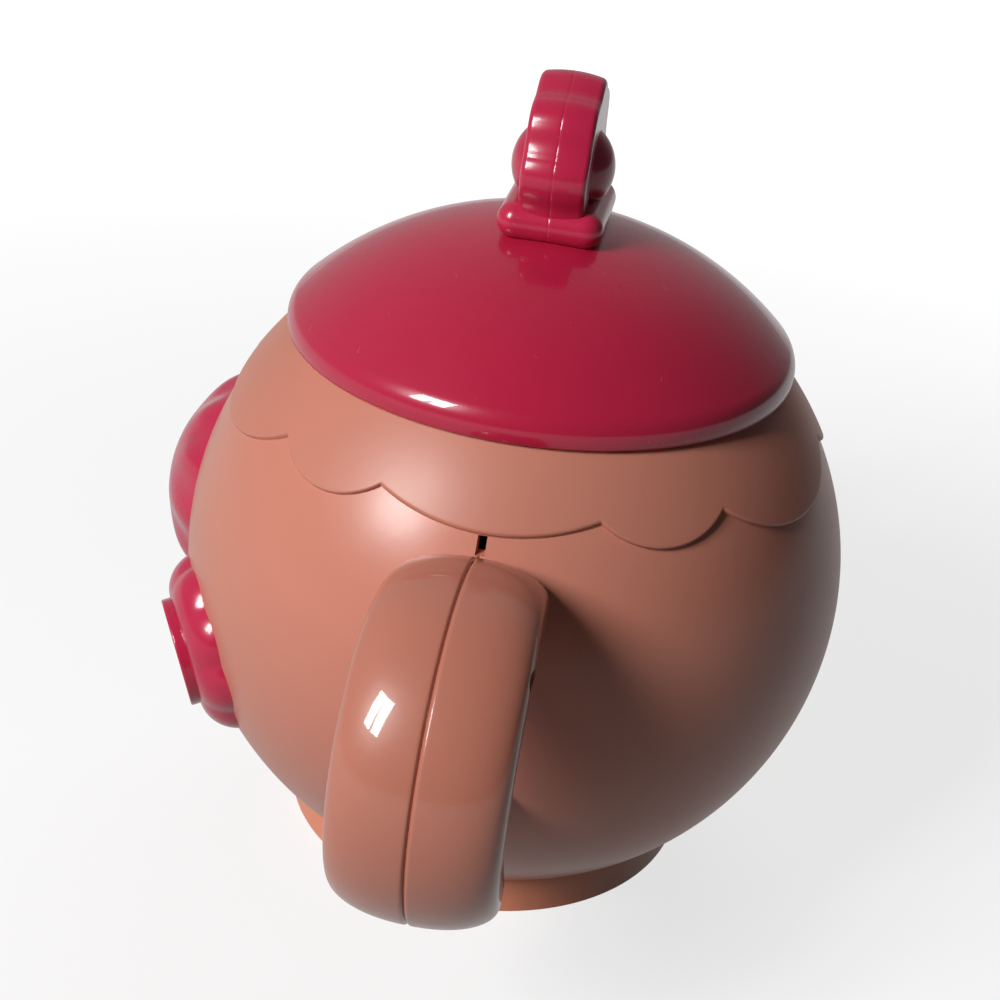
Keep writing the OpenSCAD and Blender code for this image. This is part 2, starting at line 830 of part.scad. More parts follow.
module switch_board() {
    color(board_green) on_ball(flower_az, flower_lat) difference() {
        translate([0, 0, switch_face - board_t]) linear_extrude(board_t)
            square([switch_board_w, 2 * switch_post_y + switch_post_d], center = true);
        for (end = [-1, 1])
            translate([0, end * switch_post_y, switch_face - board_t - over])
                cylinder(h = board_t + 2 * over, d = screw_d + 2 * snug);
    }
}

module switch_screws() {
    color(steel) at_switch_posts()
        translate([0, 0, -board_t]) rotate([180, 0, 0]) screw(board_t + board_screw_l - over);
}

module case_screws() {
    color(steel)
        for (p = concat(ball_posts(), handle_posts()))
            at_post(p) translate([0, 0, case_web]) screw(case_web + case_grip - over);
}

// The battery bay's outside, kept inside the base's lip
module bay_form() {
    w = bay_x + 2 * bay_wall;
    l = bay_y + 2 * bay_wall;
    intersection() {
        translate([-bay_back - w / 2, -l / 2, floor_gap]) cube([w, l, bay_top - floor_gap]);
        cylinder(h = body_rise, r = lip_r);
    }
}

// Outline of the battery door, drawn in by a gap
module door_outline(gap) {
    w = bay_x + 2 * door_margin - 2 * gap;
    l = bay_y + 2 * door_margin - 2 * gap;
    translate([-bay_back - w / 2, -l / 2]) square([w, l]);
    translate([door_ear_x, 0]) circle(d = door_ear_d - 2 * gap);
}

// Moves children to each post of the sound board
module at_board_posts() {
    for (x = [-1, 1], y = [-1, 1])
        translate([-bay_back + x * (board_w - board_post_d) / 2, y * (board_l - board_post_d) / 2, bay_top])
            children();
}

// Moves children to each screw of the base, at the table
module at_base_screws() {
    for (turn = base_screw_turns)
        rotate([0, 0, turn]) translate([base_post_r, 0, 0]) children();
}

module base_tray() {
    color(tan_light) difference() {
        union() {
            difference() {
                cylinder(h = foot_h, r = foot_r);
                translate([0, 0, -over]) cylinder(h = foot_h + 2 * over, r = foot_r - foot_wall);
            }
            translate([0, 0, floor_gap]) cylinder(h = plate_t, r = foot_r - foot_wall / 2);
            difference() {
                translate([0, 0, floor_gap]) cylinder(h = foot_h + lip_h - floor_gap, r = lip_r);
                translate([0, 0, floor_gap]) cylinder(h = body_rise, r = lip_r - lip_t);
                at_base_screws()
                    translate([0, 0, foot_h - run]) cylinder(h = base_post_h, d = base_post_d + 2 * run);
            }
            bay_form();
            intersection() {
                at_base_screws()
                    translate([0, 0, floor_gap]) cylinder(h = foot_h - snug - floor_gap, d = base_post_d);
                cylinder(h = foot_h, r = foot_r - foot_wall / 2);
            }
            translate([door_ear_x, 0, floor_gap]) cylinder(h = door_screw_l, d = door_ear_d);
            at_board_posts() cylinder(h = board_post_h, d = board_post_d);
            translate([speaker_out, 0, plate_top - snug]) difference() {
                cylinder(h = speaker_seat_h + snug, r = speaker_r + snug + speaker_wall);
                translate([0, 0, -over]) cylinder(h = speaker_seat_h + 2 * over, r = speaker_r + snug);
            }
        }
        translate([-bay_back - bay_x / 2, -bay_y / 2, -over]) cube([bay_x, bay_y, bay_ceiling + over]);
        translate([0, 0, floor_gap - over]) linear_extrude(door_t + over) door_outline(0);
        translate([door_ear_x, 0, floor_gap]) cylinder(h = door_screw_l - over, d = screw_d + 2 * snug);
        at_board_posts() translate([0, 0, -bay_wall / 2])
            cylinder(h = board_post_h + bay_wall, d = screw_d + 2 * snug);
        at_base_screws() {
            translate([0, 0, -over]) cylinder(h = foot_h + lip_h + over, d = screw_d + 2 * snug);
            translate([0, 0, -over])
                cylinder(h = over + head_cover + screw_head_t, d = screw_head_d + 2 * run);
        }
        translate([speaker_out, 0, 0]) grille_bores();
        translate([switch_x - slider_l / 2 - run, switch_y - slider_t / 2 - run, floor_gap - over])
            cube([slider_l + slider_travel + 2 * run, slider_t + 2 * run, plate_t + 2 * over]);
    }
}

// Sound holes under the speaker: one in the middle and two rings
module grille_bores() {
    translate([0, 0, floor_gap - over]) cylinder(h = plate_t + 2 * over, d = grille_d);
    for (ring = [1, 2], i = [0 : 6 * ring - 1])
        rotate([0, 0, i * 60 / ring])
            translate([ring * grille_ring_share * speaker_r, 0, floor_gap - over])
                cylinder(h = plate_t + 2 * over, d = grille_d);
}

module base_screws() {
    color(steel) at_base_screws()
        translate([0, 0, head_cover + screw_head_t])
            rotate([180, 0, 0]) screw(foot_h + base_post_h - wall - over - head_cover - screw_head_t);
}

module battery_door() {
    color(tan_light) difference() {
        translate([0, 0, floor_gap]) linear_extrude(door_t - snug) door_outline(run);
        translate([door_ear_x, 0, floor_gap - over]) cylinder(h = door_t + 2 * over, d = screw_d + 2 * snug);
    }
}

module door_screw() {
    color(steel) translate([door_ear_x, 0, floor_gap]) rotate([180, 0, 0]) screw(door_screw_l - 2 * over);
}

// Moves children to each cell's axis, at its middle
module at_cells() {
    for (i = [0 : cells - 1])
        translate([-bay_back + (i - (cells - 1) / 2) * (cell_d + cell_gap), 0, cell_axis]) children();
}

module battery_cells() {
    cap_l = cell_l / 28;
    for (i = [0 : cells - 1])
        translate([-bay_back + (i - (cells - 1) / 2) * (cell_d + cell_gap), 0, cell_axis])
            rotate([i % 2 == 0 ? 90 : -90, 0, 0]) color(steel) {
                translate([0, 0, -cell_l / 2]) cylinder(h = cell_l - cap_l, d = cell_d);
                translate([0, 0, cell_l / 2 - 2 * cap_l]) cylinder(h = 2 * cap_l, d = cell_d / 3);
            }
}

module battery_contacts() {
    size = cell_d * contact_share;
    color(steel) at_cells()
        for (end = [-1, 1]) rotate([end * 90, 0, 0]) {
            translate([-size / 2, -size / 2, bay_y / 2 - contact_t]) cube([size, size, contact_t]);
            translate([0, 0, bay_y / 2 - contact_room + snug])
                cylinder(h = contact_room - snug - contact_t / 2, d1 = size / 4, d2 = size / 2);
        }
}

module sound_board() {
    color(board_green) difference() {
        translate([-bay_back - board_w / 2, -board_l / 2, board_z]) cube([board_w, board_l, board_t]);
        at_board_posts() cylinder(h = board_post_h + board_t + over, d = screw_d + 2 * snug);
    }
}

module board_parts() {
    top = board_z + board_t;
    color(dark_plastic) translate([-bay_back, 0, top]) {
        translate([-board_w * chip_shares[0] / 2, -board_l * chip_shares[1] / 2, 0])
            cube([board_w * chip_shares[0], board_l * chip_shares[1], chip_h]);
        for (end = [-1, 1])
            translate([0, end * board_l * chip_shares[0], 0]) cylinder(h = can_h, d = can_d);
    }
}

module board_screws() {
    color(steel) at_board_posts()
        translate([0, 0, board_post_h + board_t]) screw(board_post_h + board_t - over / 2);
}

// Moves children to the speaker's seat on the floor plate
module at_speaker() {
    translate([speaker_out, 0, plate_top]) children();
}

module speaker_frame() {
    rim = speaker_r / 5;
    neck = speaker_r / 2;
    skin = speaker_wall / 2;
    color(dark_plastic) at_speaker() rotate_extrude() polygon([
        [speaker_r - rim, 0], [speaker_r, 0], [speaker_r, skin], [neck, speaker_h],
        [neck - rim, speaker_h], [neck - rim, speaker_h - skin], [neck, speaker_h - skin],
        [speaker_r - rim, skin]]);
}

module speaker_cone() {
    rim = speaker_r * 4 / 5 - snug;
    cap = speaker_r / 3;
    low = speaker_wall / 2;
    high = speaker_h / 2;
    color(white_plastic) at_speaker() rotate_extrude() polygon([
        [0, high - cone_t], [cap, high - cone_t], [rim, low - cone_t], [rim, low], [cap, high], [0, high]]);
}

module speaker_magnet() {
    color(steel) at_speaker() {
        translate([0, 0, speaker_h]) cylinder(h = speaker_h, r = speaker_r / 2 + speaker_wall);
        translate([0, 0, speaker_h / 2 + snug]) cylinder(h = speaker_h, r = speaker_r / 5);
    }
}

// Moves children to the power switch, on the floor plate
module at_switch() {
    translate([switch_x, switch_y, plate_top]) children();
}

module power_switch() {
    room = slider_travel + 2 * slider_l / 2 + 2 * run + 2 * slider_head / 2;
    color(dark_plastic) at_switch() difference() {
        translate([(slider_travel - switch_l) / 2, -switch_d / 2, 0]) cube([switch_l, switch_d, switch_h]);
        translate([(slider_travel - room) / 2, -slider_t / 2 - run - slider_head / 2, -over])
            cube([room, slider_t + slider_head + 2 * run, switch_h - switch_skin + over]);
    }
}

module power_slider() {
    head_l = slider_l + slider_head;
    head_w = slider_t + slider_head;
    low = -plate_t - slider_reach;
    color(white_plastic) at_switch() {
        translate([-slider_l / 2, -slider_t / 2, low]) cube([slider_l, slider_t, run - low]);
        translate([-head_l / 2, -head_w / 2, run]) cube([head_l, head_w, switch_h - switch_skin - 2 * run]);
    }
}

// A point of a smooth curve through p1 and p2, a share of the way between them
function smooth(p0, p1, p2, p3, share) = (2 * p1 + (p2 - p0) * share
    + (2 * p0 - 5 * p1 + 4 * p2 - p3) * pow(share, 2) + (3 * p1 - p0 - 3 * p2 + p3) * pow(share, 3)) / 2;

// A smooth route through a few points
function route(p) =
    let (last = len(p) - 1)
    [for (i = [0 : wire_rings]) let (way = last * i / wire_rings, k = min(floor(way), last - 1))
        smooth(p[max(k - 1, 0)], p[k], p[k + 1], p[min(k + 2, last)], way - k)];

// Direction of the flower button from the ball's centre
function flower_way() = [cos(flower_lat) * cos(flower_az), cos(flower_lat) * sin(flower_az), sin(flower_lat)];

module wires() {
    top = board_z + board_t + snug;
    edge = -bay_back + board_w / 2 - wire_d;
    rear = (ball_r + switch_face - board_t - snug) * flower_way() + [0, 0, body_rise];
    speaker_top = plate_top + 2 * speaker_h + snug;
    color(dark_plastic) {
        sweep(route([[edge, -board_l / 4, top], [edge, -board_l / 4, top + can_h],
            [rear[0] - can_h, -board_l / 2, (top + rear[2]) / 2],
            rear - can_h * flower_way(), rear]), wire_d, wire_sides);
        sweep(route([[edge, board_l / 8, top], [edge, board_l / 8, top + can_h],
            [(edge + speaker_out) / 2, board_l / 16, top + can_h],
            [speaker_out, 0, speaker_top + can_h], [speaker_out, 0, speaker_top]]), wire_d, wire_sides);
    }
}

body_front_half();
body_back_half();
drip_collar();
inner_bowl();
lid_dome();
lid_liner();
knob_front_half();
knob_back_half();
knob_screws();
large_flower();
flower_bezel();
flower_button();
button_clip();
button_spring();
switch_board();
switch_screws();
case_screws();
base_tray();
base_screws();
battery_door();
door_screw();
battery_cells();
battery_contacts();
sound_board();
board_parts();
board_screws();
speaker_frame();
speaker_cone();
speaker_magnet();
power_switch();
power_slider();
wires();
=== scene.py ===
"""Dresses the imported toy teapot: smooth moulded surfaces, plastic finishes, light and camera."""

from __future__ import annotations

import logging
import math
from contextlib import contextmanager
from dataclasses import dataclass, field
from enum import Enum
from typing import Any, Callable, Iterator, Sequence, Union

import bmesh
import bpy
import numpy as np
from mathutils import Matrix
from numpy.typing import NDArray


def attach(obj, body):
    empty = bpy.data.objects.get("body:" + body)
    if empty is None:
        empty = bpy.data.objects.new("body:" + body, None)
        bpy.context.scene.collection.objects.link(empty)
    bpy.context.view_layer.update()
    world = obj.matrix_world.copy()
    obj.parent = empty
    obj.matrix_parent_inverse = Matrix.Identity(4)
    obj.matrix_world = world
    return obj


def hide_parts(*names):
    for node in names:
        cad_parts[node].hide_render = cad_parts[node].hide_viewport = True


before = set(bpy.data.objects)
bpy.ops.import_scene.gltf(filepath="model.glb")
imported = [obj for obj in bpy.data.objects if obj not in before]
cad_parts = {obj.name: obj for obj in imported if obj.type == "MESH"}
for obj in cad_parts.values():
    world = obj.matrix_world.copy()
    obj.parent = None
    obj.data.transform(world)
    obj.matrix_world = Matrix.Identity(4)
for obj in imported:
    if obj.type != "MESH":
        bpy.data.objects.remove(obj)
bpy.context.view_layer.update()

LOG = logging.getLogger("teapot")
MM = 0.001  # metres in a millimetre
WELD_MM = 1e-4  # points closer than this are one point
EMBED = 0.3  # how far a hidden end runs into the piece beside it, in millimetres
STRAIGHT = 0.499  # a corner whose half angle is over this share of pi isn't rounded
BESIDE_ARC = 0.3  # longest short piece beside an arc, in millimetres, and its largest share of a run
BLADE_SHARP = 30.0  # edges of a cutter that turn by more degrees than this are crisp
NOISE_ROUGH = 0.55  # how strongly a noise's finer layers show
SHORTEST_RUN = 0.25  # a straight run under this share of a step gets no points

Array = NDArray[np.float64]
IntArray = NDArray[np.int64]
Colour = tuple[float, float, float]
Corner = tuple[float, float, float]
Angles = tuple[float, float, float]
Pair = tuple[float, float]

BLACK: Colour = (0.0, 0.0, 0.0)
WHITE: Colour = (1.0, 1.0, 1.0)


class Body(str, Enum):
    """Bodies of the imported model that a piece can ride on."""

    POT = "pot"
    LID = "lid"
    BUTTON = "button"
    SLIDER = "switch_slider"


class Slot(str, Enum):
    """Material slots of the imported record."""

    TAN = "tan_plastic"
    FOOT = "foot_plastic"
    RED = "red_plastic"
    WHITE = "white_plastic"
    DARK = "dark_plastic"
    BOARD = "board"
    STEEL = "screw_steel"
    CELL = "cell_skin"
    CONE = "cone_paper"


class Side(Enum):
    """The two sides of the seam: the front has the ornaments."""

    FRONT = -1
    BACK = 1


# Surfaces


@dataclass
class Surface:
    """Points in millimetres and the four-cornered faces between them."""

    points: Array
    faces: IntArray

    @staticmethod
    def grid(points: Array, wrap_rows: bool = False, wrap_cols: bool = True) -> "Surface":
        """Skin over a grid of points: each face joins a point to its right, upper right and upper neighbour.

        Args:
            points: rows by columns by three.
            wrap_rows: whether the last row joins the first.
            wrap_cols: whether the last column joins the first.

        Returns:
            The skin, with no end caps.
        """
        rows, cols = points.shape[:2]
        index = np.arange(rows * cols).reshape(rows, cols)
        ring = np.concatenate([index, index[:1]]) if wrap_rows else index
        ring = np.concatenate([ring, ring[:, :1]], axis=1) if wrap_cols else ring
        corners = [ring[:-1, :-1], ring[:-1, 1:], ring[1:, 1:], ring[1:, :-1]]
        return Surface(points.reshape(-1, 3), np.stack(corners, axis=-1).reshape(-1, 4))

    @staticmethod
    def loft(loops: Array) -> "Surface":
        """Closed skin over loops of points, with strips across the first and the last loop.

        A strip's faces join a loop's point i and i + 1 to those counted from the loop's end.

        Args:
            loops: loops by points by three, with an even number of points.

        Returns:
            The closed skin.
        """
        count, size = loops.shape[:2]
        skin = Surface.grid(loops)
        i = np.arange(size // 2 - 1)
        cap = np.stack([i, i + 1, size - 2 - i, size - 1 - i], axis=-1)
        return Surface(skin.points, np.concatenate([skin.faces, cap[:, ::-1], cap + (count - 1) * size]))

    @staticmethod
    def lathe(outline: Array, steps: int) -> "Surface":
        """Closed outline of [radius, height] turned round the z axis: (r cos a, r sin a, z).

        Args:
            outline: the outline's points; points on the axis become poles.
            steps: number of steps in a turn.

        Returns:
            The turned skin.
        """
        a = np.linspace(0, 2 * np.pi, steps, endpoint=False)[:, None]
        r, z = outline[:, 0], outline[:, 1]
        return Surface.grid(np.stack([r * np.cos(a), r * np.sin(a), z + 0 * a], axis=-1), wrap_rows=True)

    @staticmethod
    def joined(parts: Sequence["Surface"]) -> "Surface":
        """All the parts' points and faces in one surface.

        Args:
            parts: the surfaces, which stay unwelded.

        Returns:
            The joint surface.
        """
        starts = np.cumsum([0] + [len(p.points) for p in parts[:-1]])
        faces = [p.faces + start for p, start in zip(parts, starts)]
        return Surface(np.concatenate([p.points for p in parts]), np.concatenate(faces))

    def moved(self, place: Callable[[Array], Array]) -> "Surface":
        """The same faces with each point taken to its place."""
        return Surface(place(self.points), self.faces)

    def mirrored(self) -> "Surface":
        """The surface's mirror image across the seam plane, y = 0."""
        return Surface(self.points * np.array([1.0, -1.0, 1.0]), self.faces[:, ::-1])

    def polygons(self) -> tuple[Array, list[list[int]]]:
        """Welded points, and faces without those that have shrunk to a line.

        Returns:
            The points that differ by more than the weld length, and the faces as lists of three or four corners.
        """
        keys = np.round(self.points / WELD_MM).astype(np.int64)
        _, first, back = np.unique(keys, axis=0, return_index=True, return_inverse=True)
        faces = back.reshape(-1)[self.faces]
        distinct = 1 + (np.diff(np.sort(faces, axis=1), axis=1) != 0).sum(axis=1)
        pairs = faces == np.roll(faces, -1, axis=1)
        three = (distinct == 3) & pairs.any(axis=1)
        turn = (np.argmax(pairs[three], axis=1)[:, None] + 1 + np.arange(3)) % 4
        triangles = np.take_along_axis(faces[three], turn, axis=1)
        return self.points[first], faces[distinct == 4].tolist() + triangles.tolist()

    def mesh(self, name: str, sharp_deg: float) -> bpy.types.Mesh:
        """Blender mesh in metres, facing outwards, smooth up to an angle between faces.

        Args:
            name: the mesh's name.
            sharp_deg: edges that turn by more than this stay crisp.

        Returns:
            The mesh.
        """
        points, faces = self.polygons()
        mesh = bpy.data.meshes.new(name)
        mesh.from_pydata((points * MM).tolist(), [], faces)
        with editing(mesh) as work:
            bmesh.ops.recalc_face_normals(work, faces=work.faces)
        shade(mesh, sharp_deg)
        return mesh


@contextmanager
def editing(mesh: bpy.types.Mesh) -> Iterator[bmesh.types.BMesh]:
    """Opens a mesh for editing and writes it back at the end.

    Args:
        mesh: the mesh.

    Returns:
        The mesh as something that can be edited, inside a with statement.
    """
    work = bmesh.new()
    work.from_mesh(mesh)
    yield work
    work.to_mesh(mesh)
    work.free()


def shade(mesh: bpy.types.Mesh, sharp_deg: float) -> None:
    """Shades the mesh smooth, with crisp edges where its faces turn sharply.

    Args:
        mesh: the mesh.
        sharp_deg: edges that turn by more than this stay crisp.
    """
    mesh.polygons.foreach_set("use_smooth", np.ones(len(mesh.polygons), dtype=bool))
    mesh.set_sharp_from_angle(angle=math.radians(sharp_deg))
    mesh.update()


def into_scene(name: str, data: bpy.types.ID) -> bpy.types.Object:
    """Makes an object and links it to the scene.

    Args:
        name: the object's name.
        data: its mesh, lamp or camera.

    Returns:
        The object, at the origin.
    """
    made = bpy.data.objects.new(name, data)
    bpy.context.scene.collection.objects.link(made)
    return made


def arc(x: float, y: float, radius: float, start: float, end: float, count: int) -> Array:
    """Points of an arc: centre plus radius times (cos a, sin a), for a from start to end in degrees."""
    a = np.radians(np.linspace(start, end, count))
    return np.stack([x + radius * np.cos(a), y + radius * np.sin(a)], axis=-1)


def polyline(points: Array, radius: float = 0.0) -> list[Corner]:
    """Corners of an outline that all have the same rounding radius."""
    return [(float(p[0]), float(p[1]), radius) for p in points]


def rounded(corners: Sequence[Corner], step: float, steps: int = 5) -> Array:
    """Closed outline through corners that are each rounded by their own radius.

    A corner's arc touches both of its sides at radius / tan(half the corner's angle). Straight runs are cut
    into pieces no longer than a step, with one short piece beside each arc, so that shading stays flat there.

    Args:
        corners: [x, y, radius] of each corner, in order.
        step: the longest piece of a straight run.
        steps: number of steps in an arc.

    Returns:
        The outline's points.
    """
    given = np.array(corners, dtype=float)
    p, radius = given[:, :2], given[:, 2]
    u, v = (np.roll(p, shift, axis=0) - p for shift in (1, -1))
    u /= np.linalg.norm(u, axis=1, keepdims=True)
    v /= np.linalg.norm(v, axis=1, keepdims=True)
    half = 0.5 * np.arccos(np.clip((u * v).sum(axis=1), -1, 1))
    bent = (radius > 0) & (half < STRAIGHT * np.pi)
    half = np.where(bent, half, 0.25 * np.pi)[:, None]
    size = np.where(bent, radius, 0.0)[:, None]
    reach = size / np.tan(half)
    split = np.where(bent[:, None], u + v, 1.0)
    middle = p + split / np.linalg.norm(split, axis=1, keepdims=True) * size / np.sin(half)
    s, e = (p + u * reach - middle)[:, None], (p + v * reach - middle)[:, None]
    turn = (np.pi - 2 * half)[:, None]
    w = np.linspace(0, 1, steps + 1)[None, :, None]
    arcs = middle[:, None] + (np.sin((1 - w) * turn) * s + np.sin(w * turn) * e) / np.sin(turn)
    arcs = np.where(bent[:, None, None], arcs, p[:, None])
    start, run = arcs[:, -1:], np.roll(arcs[:, :1], -1, axis=0) - arcs[:, -1:]
    length = np.linalg.norm(run, axis=2)
    near = np.minimum(BESIDE_ARC, BESIDE_ARC * length) / np.maximum(length, 1e-9)
    count = np.maximum(2, np.ceil(length / step))
    k = np.arange(int(count.max()))[None]
    inner = near + (1 - 2 * near) * k / (count - 1)
    every = np.concatenate([arcs, start + run * inner[..., None]], axis=1)
    kept_arc = bent[:, None] | (np.arange(steps + 1) == 0)
    kept_run = (k < count) & (length > SHORTEST_RUN * step)
    return every[np.concatenate([kept_arc, kept_run], axis=1)]


def smooth_max(values: Array, sharpness: float) -> Array:
    """Rounded maximum over the first axis: log of the sum of exp(sharpness v), over sharpness."""
    top = values.max(axis=0)
    return top + np.log(np.exp(sharpness * (values - top)).sum(axis=0)) / sharpness


def sphere_hits(origin: Array, rays: Array, centres: Array, radius: float) -> Array:
    """Distance along each ray to where it leaves each ball, or zero where it misses.

    With c the ball's centre seen from the origin and d the ray, it is c.d + sqrt(radius^2 - c.c + (c.d)^2).

    Args:
        origin: where the rays start.
        rays: unit vectors, in any grid, with the vector on the last axis.
        centres: the balls' centres, one a row.
        radius: the balls' radius.

    Returns:
        The distances, with the balls on the first axis.
    """
    c = centres - origin
    along = np.tensordot(c, rays, axes=([1], [rays.ndim - 1]))
    room = radius**2 - (c**2).sum(axis=1).reshape(-1, *[1] * (rays.ndim - 1)) + along**2
    return np.where(room > 0, along + np.sqrt(np.maximum(room, 0)), 0.0)


# Shader maths

Input = Union["Value", bpy.types.NodeSocket, float, Sequence[float]]


class Value:
    """A number socket of a node tree: arithmetic on it adds Math nodes."""

    def __init__(self, tree: "Tree", socket: bpy.types.NodeSocket) -> None:
        """Wraps a socket of a tree."""
        self.tree = tree
        self.socket = socket

    def _math(self, operation: str, first: Input, second: Input) -> "Value":
        """Result of one Math node."""
        return self.tree.value("ShaderNodeMath", {"operation": operation}, {0: first, 1: second})

    def __add__(self, other: Input) -> "Value":
        """Sum."""
        return self._math("ADD", self, other)

    __radd__ = __add__

    def __mul__(self, other: Input) -> "Value":
        """Product."""
        return self._math("MULTIPLY", self, other)

    __rmul__ = __mul__

    def __sub__(self, other: Input) -> "Value":
        """Difference."""
        return self._math("SUBTRACT", self, other)

    def __rsub__(self, other: Input) -> "Value":
        """Difference from a number."""
        return self._math("SUBTRACT", other, self)

    def __gt__(self, other: Input) -> "Value":
        """One where this is greater, else zero."""
        return self._math("GREATER_THAN", self, other)

    def or_more(self, other: Input) -> "Value":
        """The larger of the two."""
        return self._math("MAXIMUM", self, other)


class Tree:
    """A material's or the world's node tree, emptied and ready for new nodes."""

    def __init__(self, tree: bpy.types.NodeTree) -> None:
        """Empties the tree."""
        tree.nodes.clear()
        self.tree = tree

    @staticmethod
    def material(name: str) -> tuple[bpy.types.Material, "Tree"]:
        """Starts a material.

        Args:
            name: its name.

        Returns:
            The new material and its empty tree.
        """
        made = bpy.data.materials.new(name)
        made.use_nodes = True
        return made, Tree(made.node_tree)

    def rays(self) -> tuple[Value, Value]:
        """Tells the rays that reach the surface apart.

        Returns:
            One for rays from the camera, and one for rays that are mirrored or let through, else zero.
        """
        path = self.node("ShaderNodeLightPath", {}, {}).outputs
        shine = Value(self, path["Is Glossy Ray"]).or_more(Value(self, path["Is Transmission Ray"]))
        return Value(self, path["Is Camera Ray"]), shine

    def node(self, kind: str, settings: dict[str, Any], inputs: dict[Any, Input]) -> bpy.types.Node:
        """Adds one node.

        Args:
            kind: the node's type.
            settings: its properties, set first.
            inputs: sockets by name or number, each with a value or something to link.

        Returns:
            The node.
        """
        made = self.tree.nodes.new(kind)
        for name, setting in settings.items():
            setattr(made, name, setting)
        for name, given in inputs.items():
            socket = made.inputs[name]
            if isinstance(given, Value):
                self.tree.links.new(given.socket, socket)
            elif isinstance(given, bpy.types.NodeSocket):
                self.tree.links.new(given, socket)
            elif isinstance(given, (int, float)):
                socket.default_value = given
            else:
                size = len(socket.default_value)
                socket.default_value = (tuple(given) + (1.0,))[:size]
        return made

    def value(self, kind: str, settings: dict[str, Any], inputs: dict[Any, Input], out: Any = 0) -> Value:
        """Adds one node and wraps one of its outputs as a number."""
        return Value(self, self.node(kind, settings, inputs).outputs[out])

    def place(self) -> bpy.types.NodeSocket:
        """Object coordinates."""
        return self.node("ShaderNodeTexCoord", {}, {}).outputs["Object"]

    def stretched(self, scale: Sequence[float], turn: Sequence[float]) -> bpy.types.NodeSocket:
        """Object coordinates, turned by angles in radians and scaled along each axis."""
        mapped = {"Vector": self.place(), "Rotation": turn, "Scale": scale}
        return self.node("ShaderNodeMapping", {"vector_type": "TEXTURE"}, mapped).outputs[0]

    def noise(self, scale: float, detail: float, vector: bpy.types.NodeSocket | None = None) -> Value:
        """Cloudy noise from about zero to one."""
        settings = {"Vector": vector or self.place(), "Scale": scale, "Detail": detail, "Roughness": NOISE_ROUGH}
        return self.value("ShaderNodeTexNoise", {}, settings)

    def ramp(self, amount: Value, low: float, high: float) -> Value:
        """Goes from zero at low to one at high, in a smooth curve."""
        settings = {"interpolation_type": "SMOOTHSTEP"}
        return self.value("ShaderNodeMapRange", settings, {0: amount, 1: low, 2: high, 3: 0.0, 4: 1.0})

    def mix(self, amount: Input, first: Input, second: Input) -> bpy.types.NodeSocket:
        """Blend of two colours."""
        settings = {"data_type": "RGBA"}
        return self.node("ShaderNodeMix", settings, {0: amount, 6: first, 7: second}).outputs[2]

    def bump(self, height: Value, strength: float, distance: float) -> bpy.types.NodeSocket:
        """Normal that a height in metres gives."""
        inputs = {"Height": height, "Strength": strength, "Distance": distance}
        return self.node("ShaderNodeBump", {}, inputs).outputs[0]

    def principled(self, inputs: dict[Any, Input]) -> None:
        """Ends the tree with a Principled shader."""
        shader = self.node("ShaderNodeBsdfPrincipled", {}, inputs)
        self.node("ShaderNodeOutputMaterial", {}, {"Surface": shader.outputs[0]})


# Finishes


def shaded(colour: Colour, factor: float) -> Colour:
    """The colour times a factor."""
    return (colour[0] * factor, colour[1] * factor, colour[2] * factor)


class Finish:
    """A named finish, which says what goes into a Principled shader."""

    name: str
    colour: Colour

    def tinted(self, tree: Tree, amount: Input, tints: Pair) -> bpy.types.NodeSocket:
        """The finish's colour, which goes from its first tint to its second."""
        return tree.mix(amount, shaded(self.colour, tints[0]), shaded(self.colour, tints[1]))

    def inputs(self, tree: Tree) -> dict[Any, Input]:
        """The shader's inputs by name; each finish has its own."""
        raise NotImplementedError

    def material(self) -> bpy.types.Material:
        """Builds the material.

        Returns:
            The material, with the finish's inputs.
        """
        made, tree = Tree.material(self.name)
        tree.principled(self.inputs(tree))
        return made


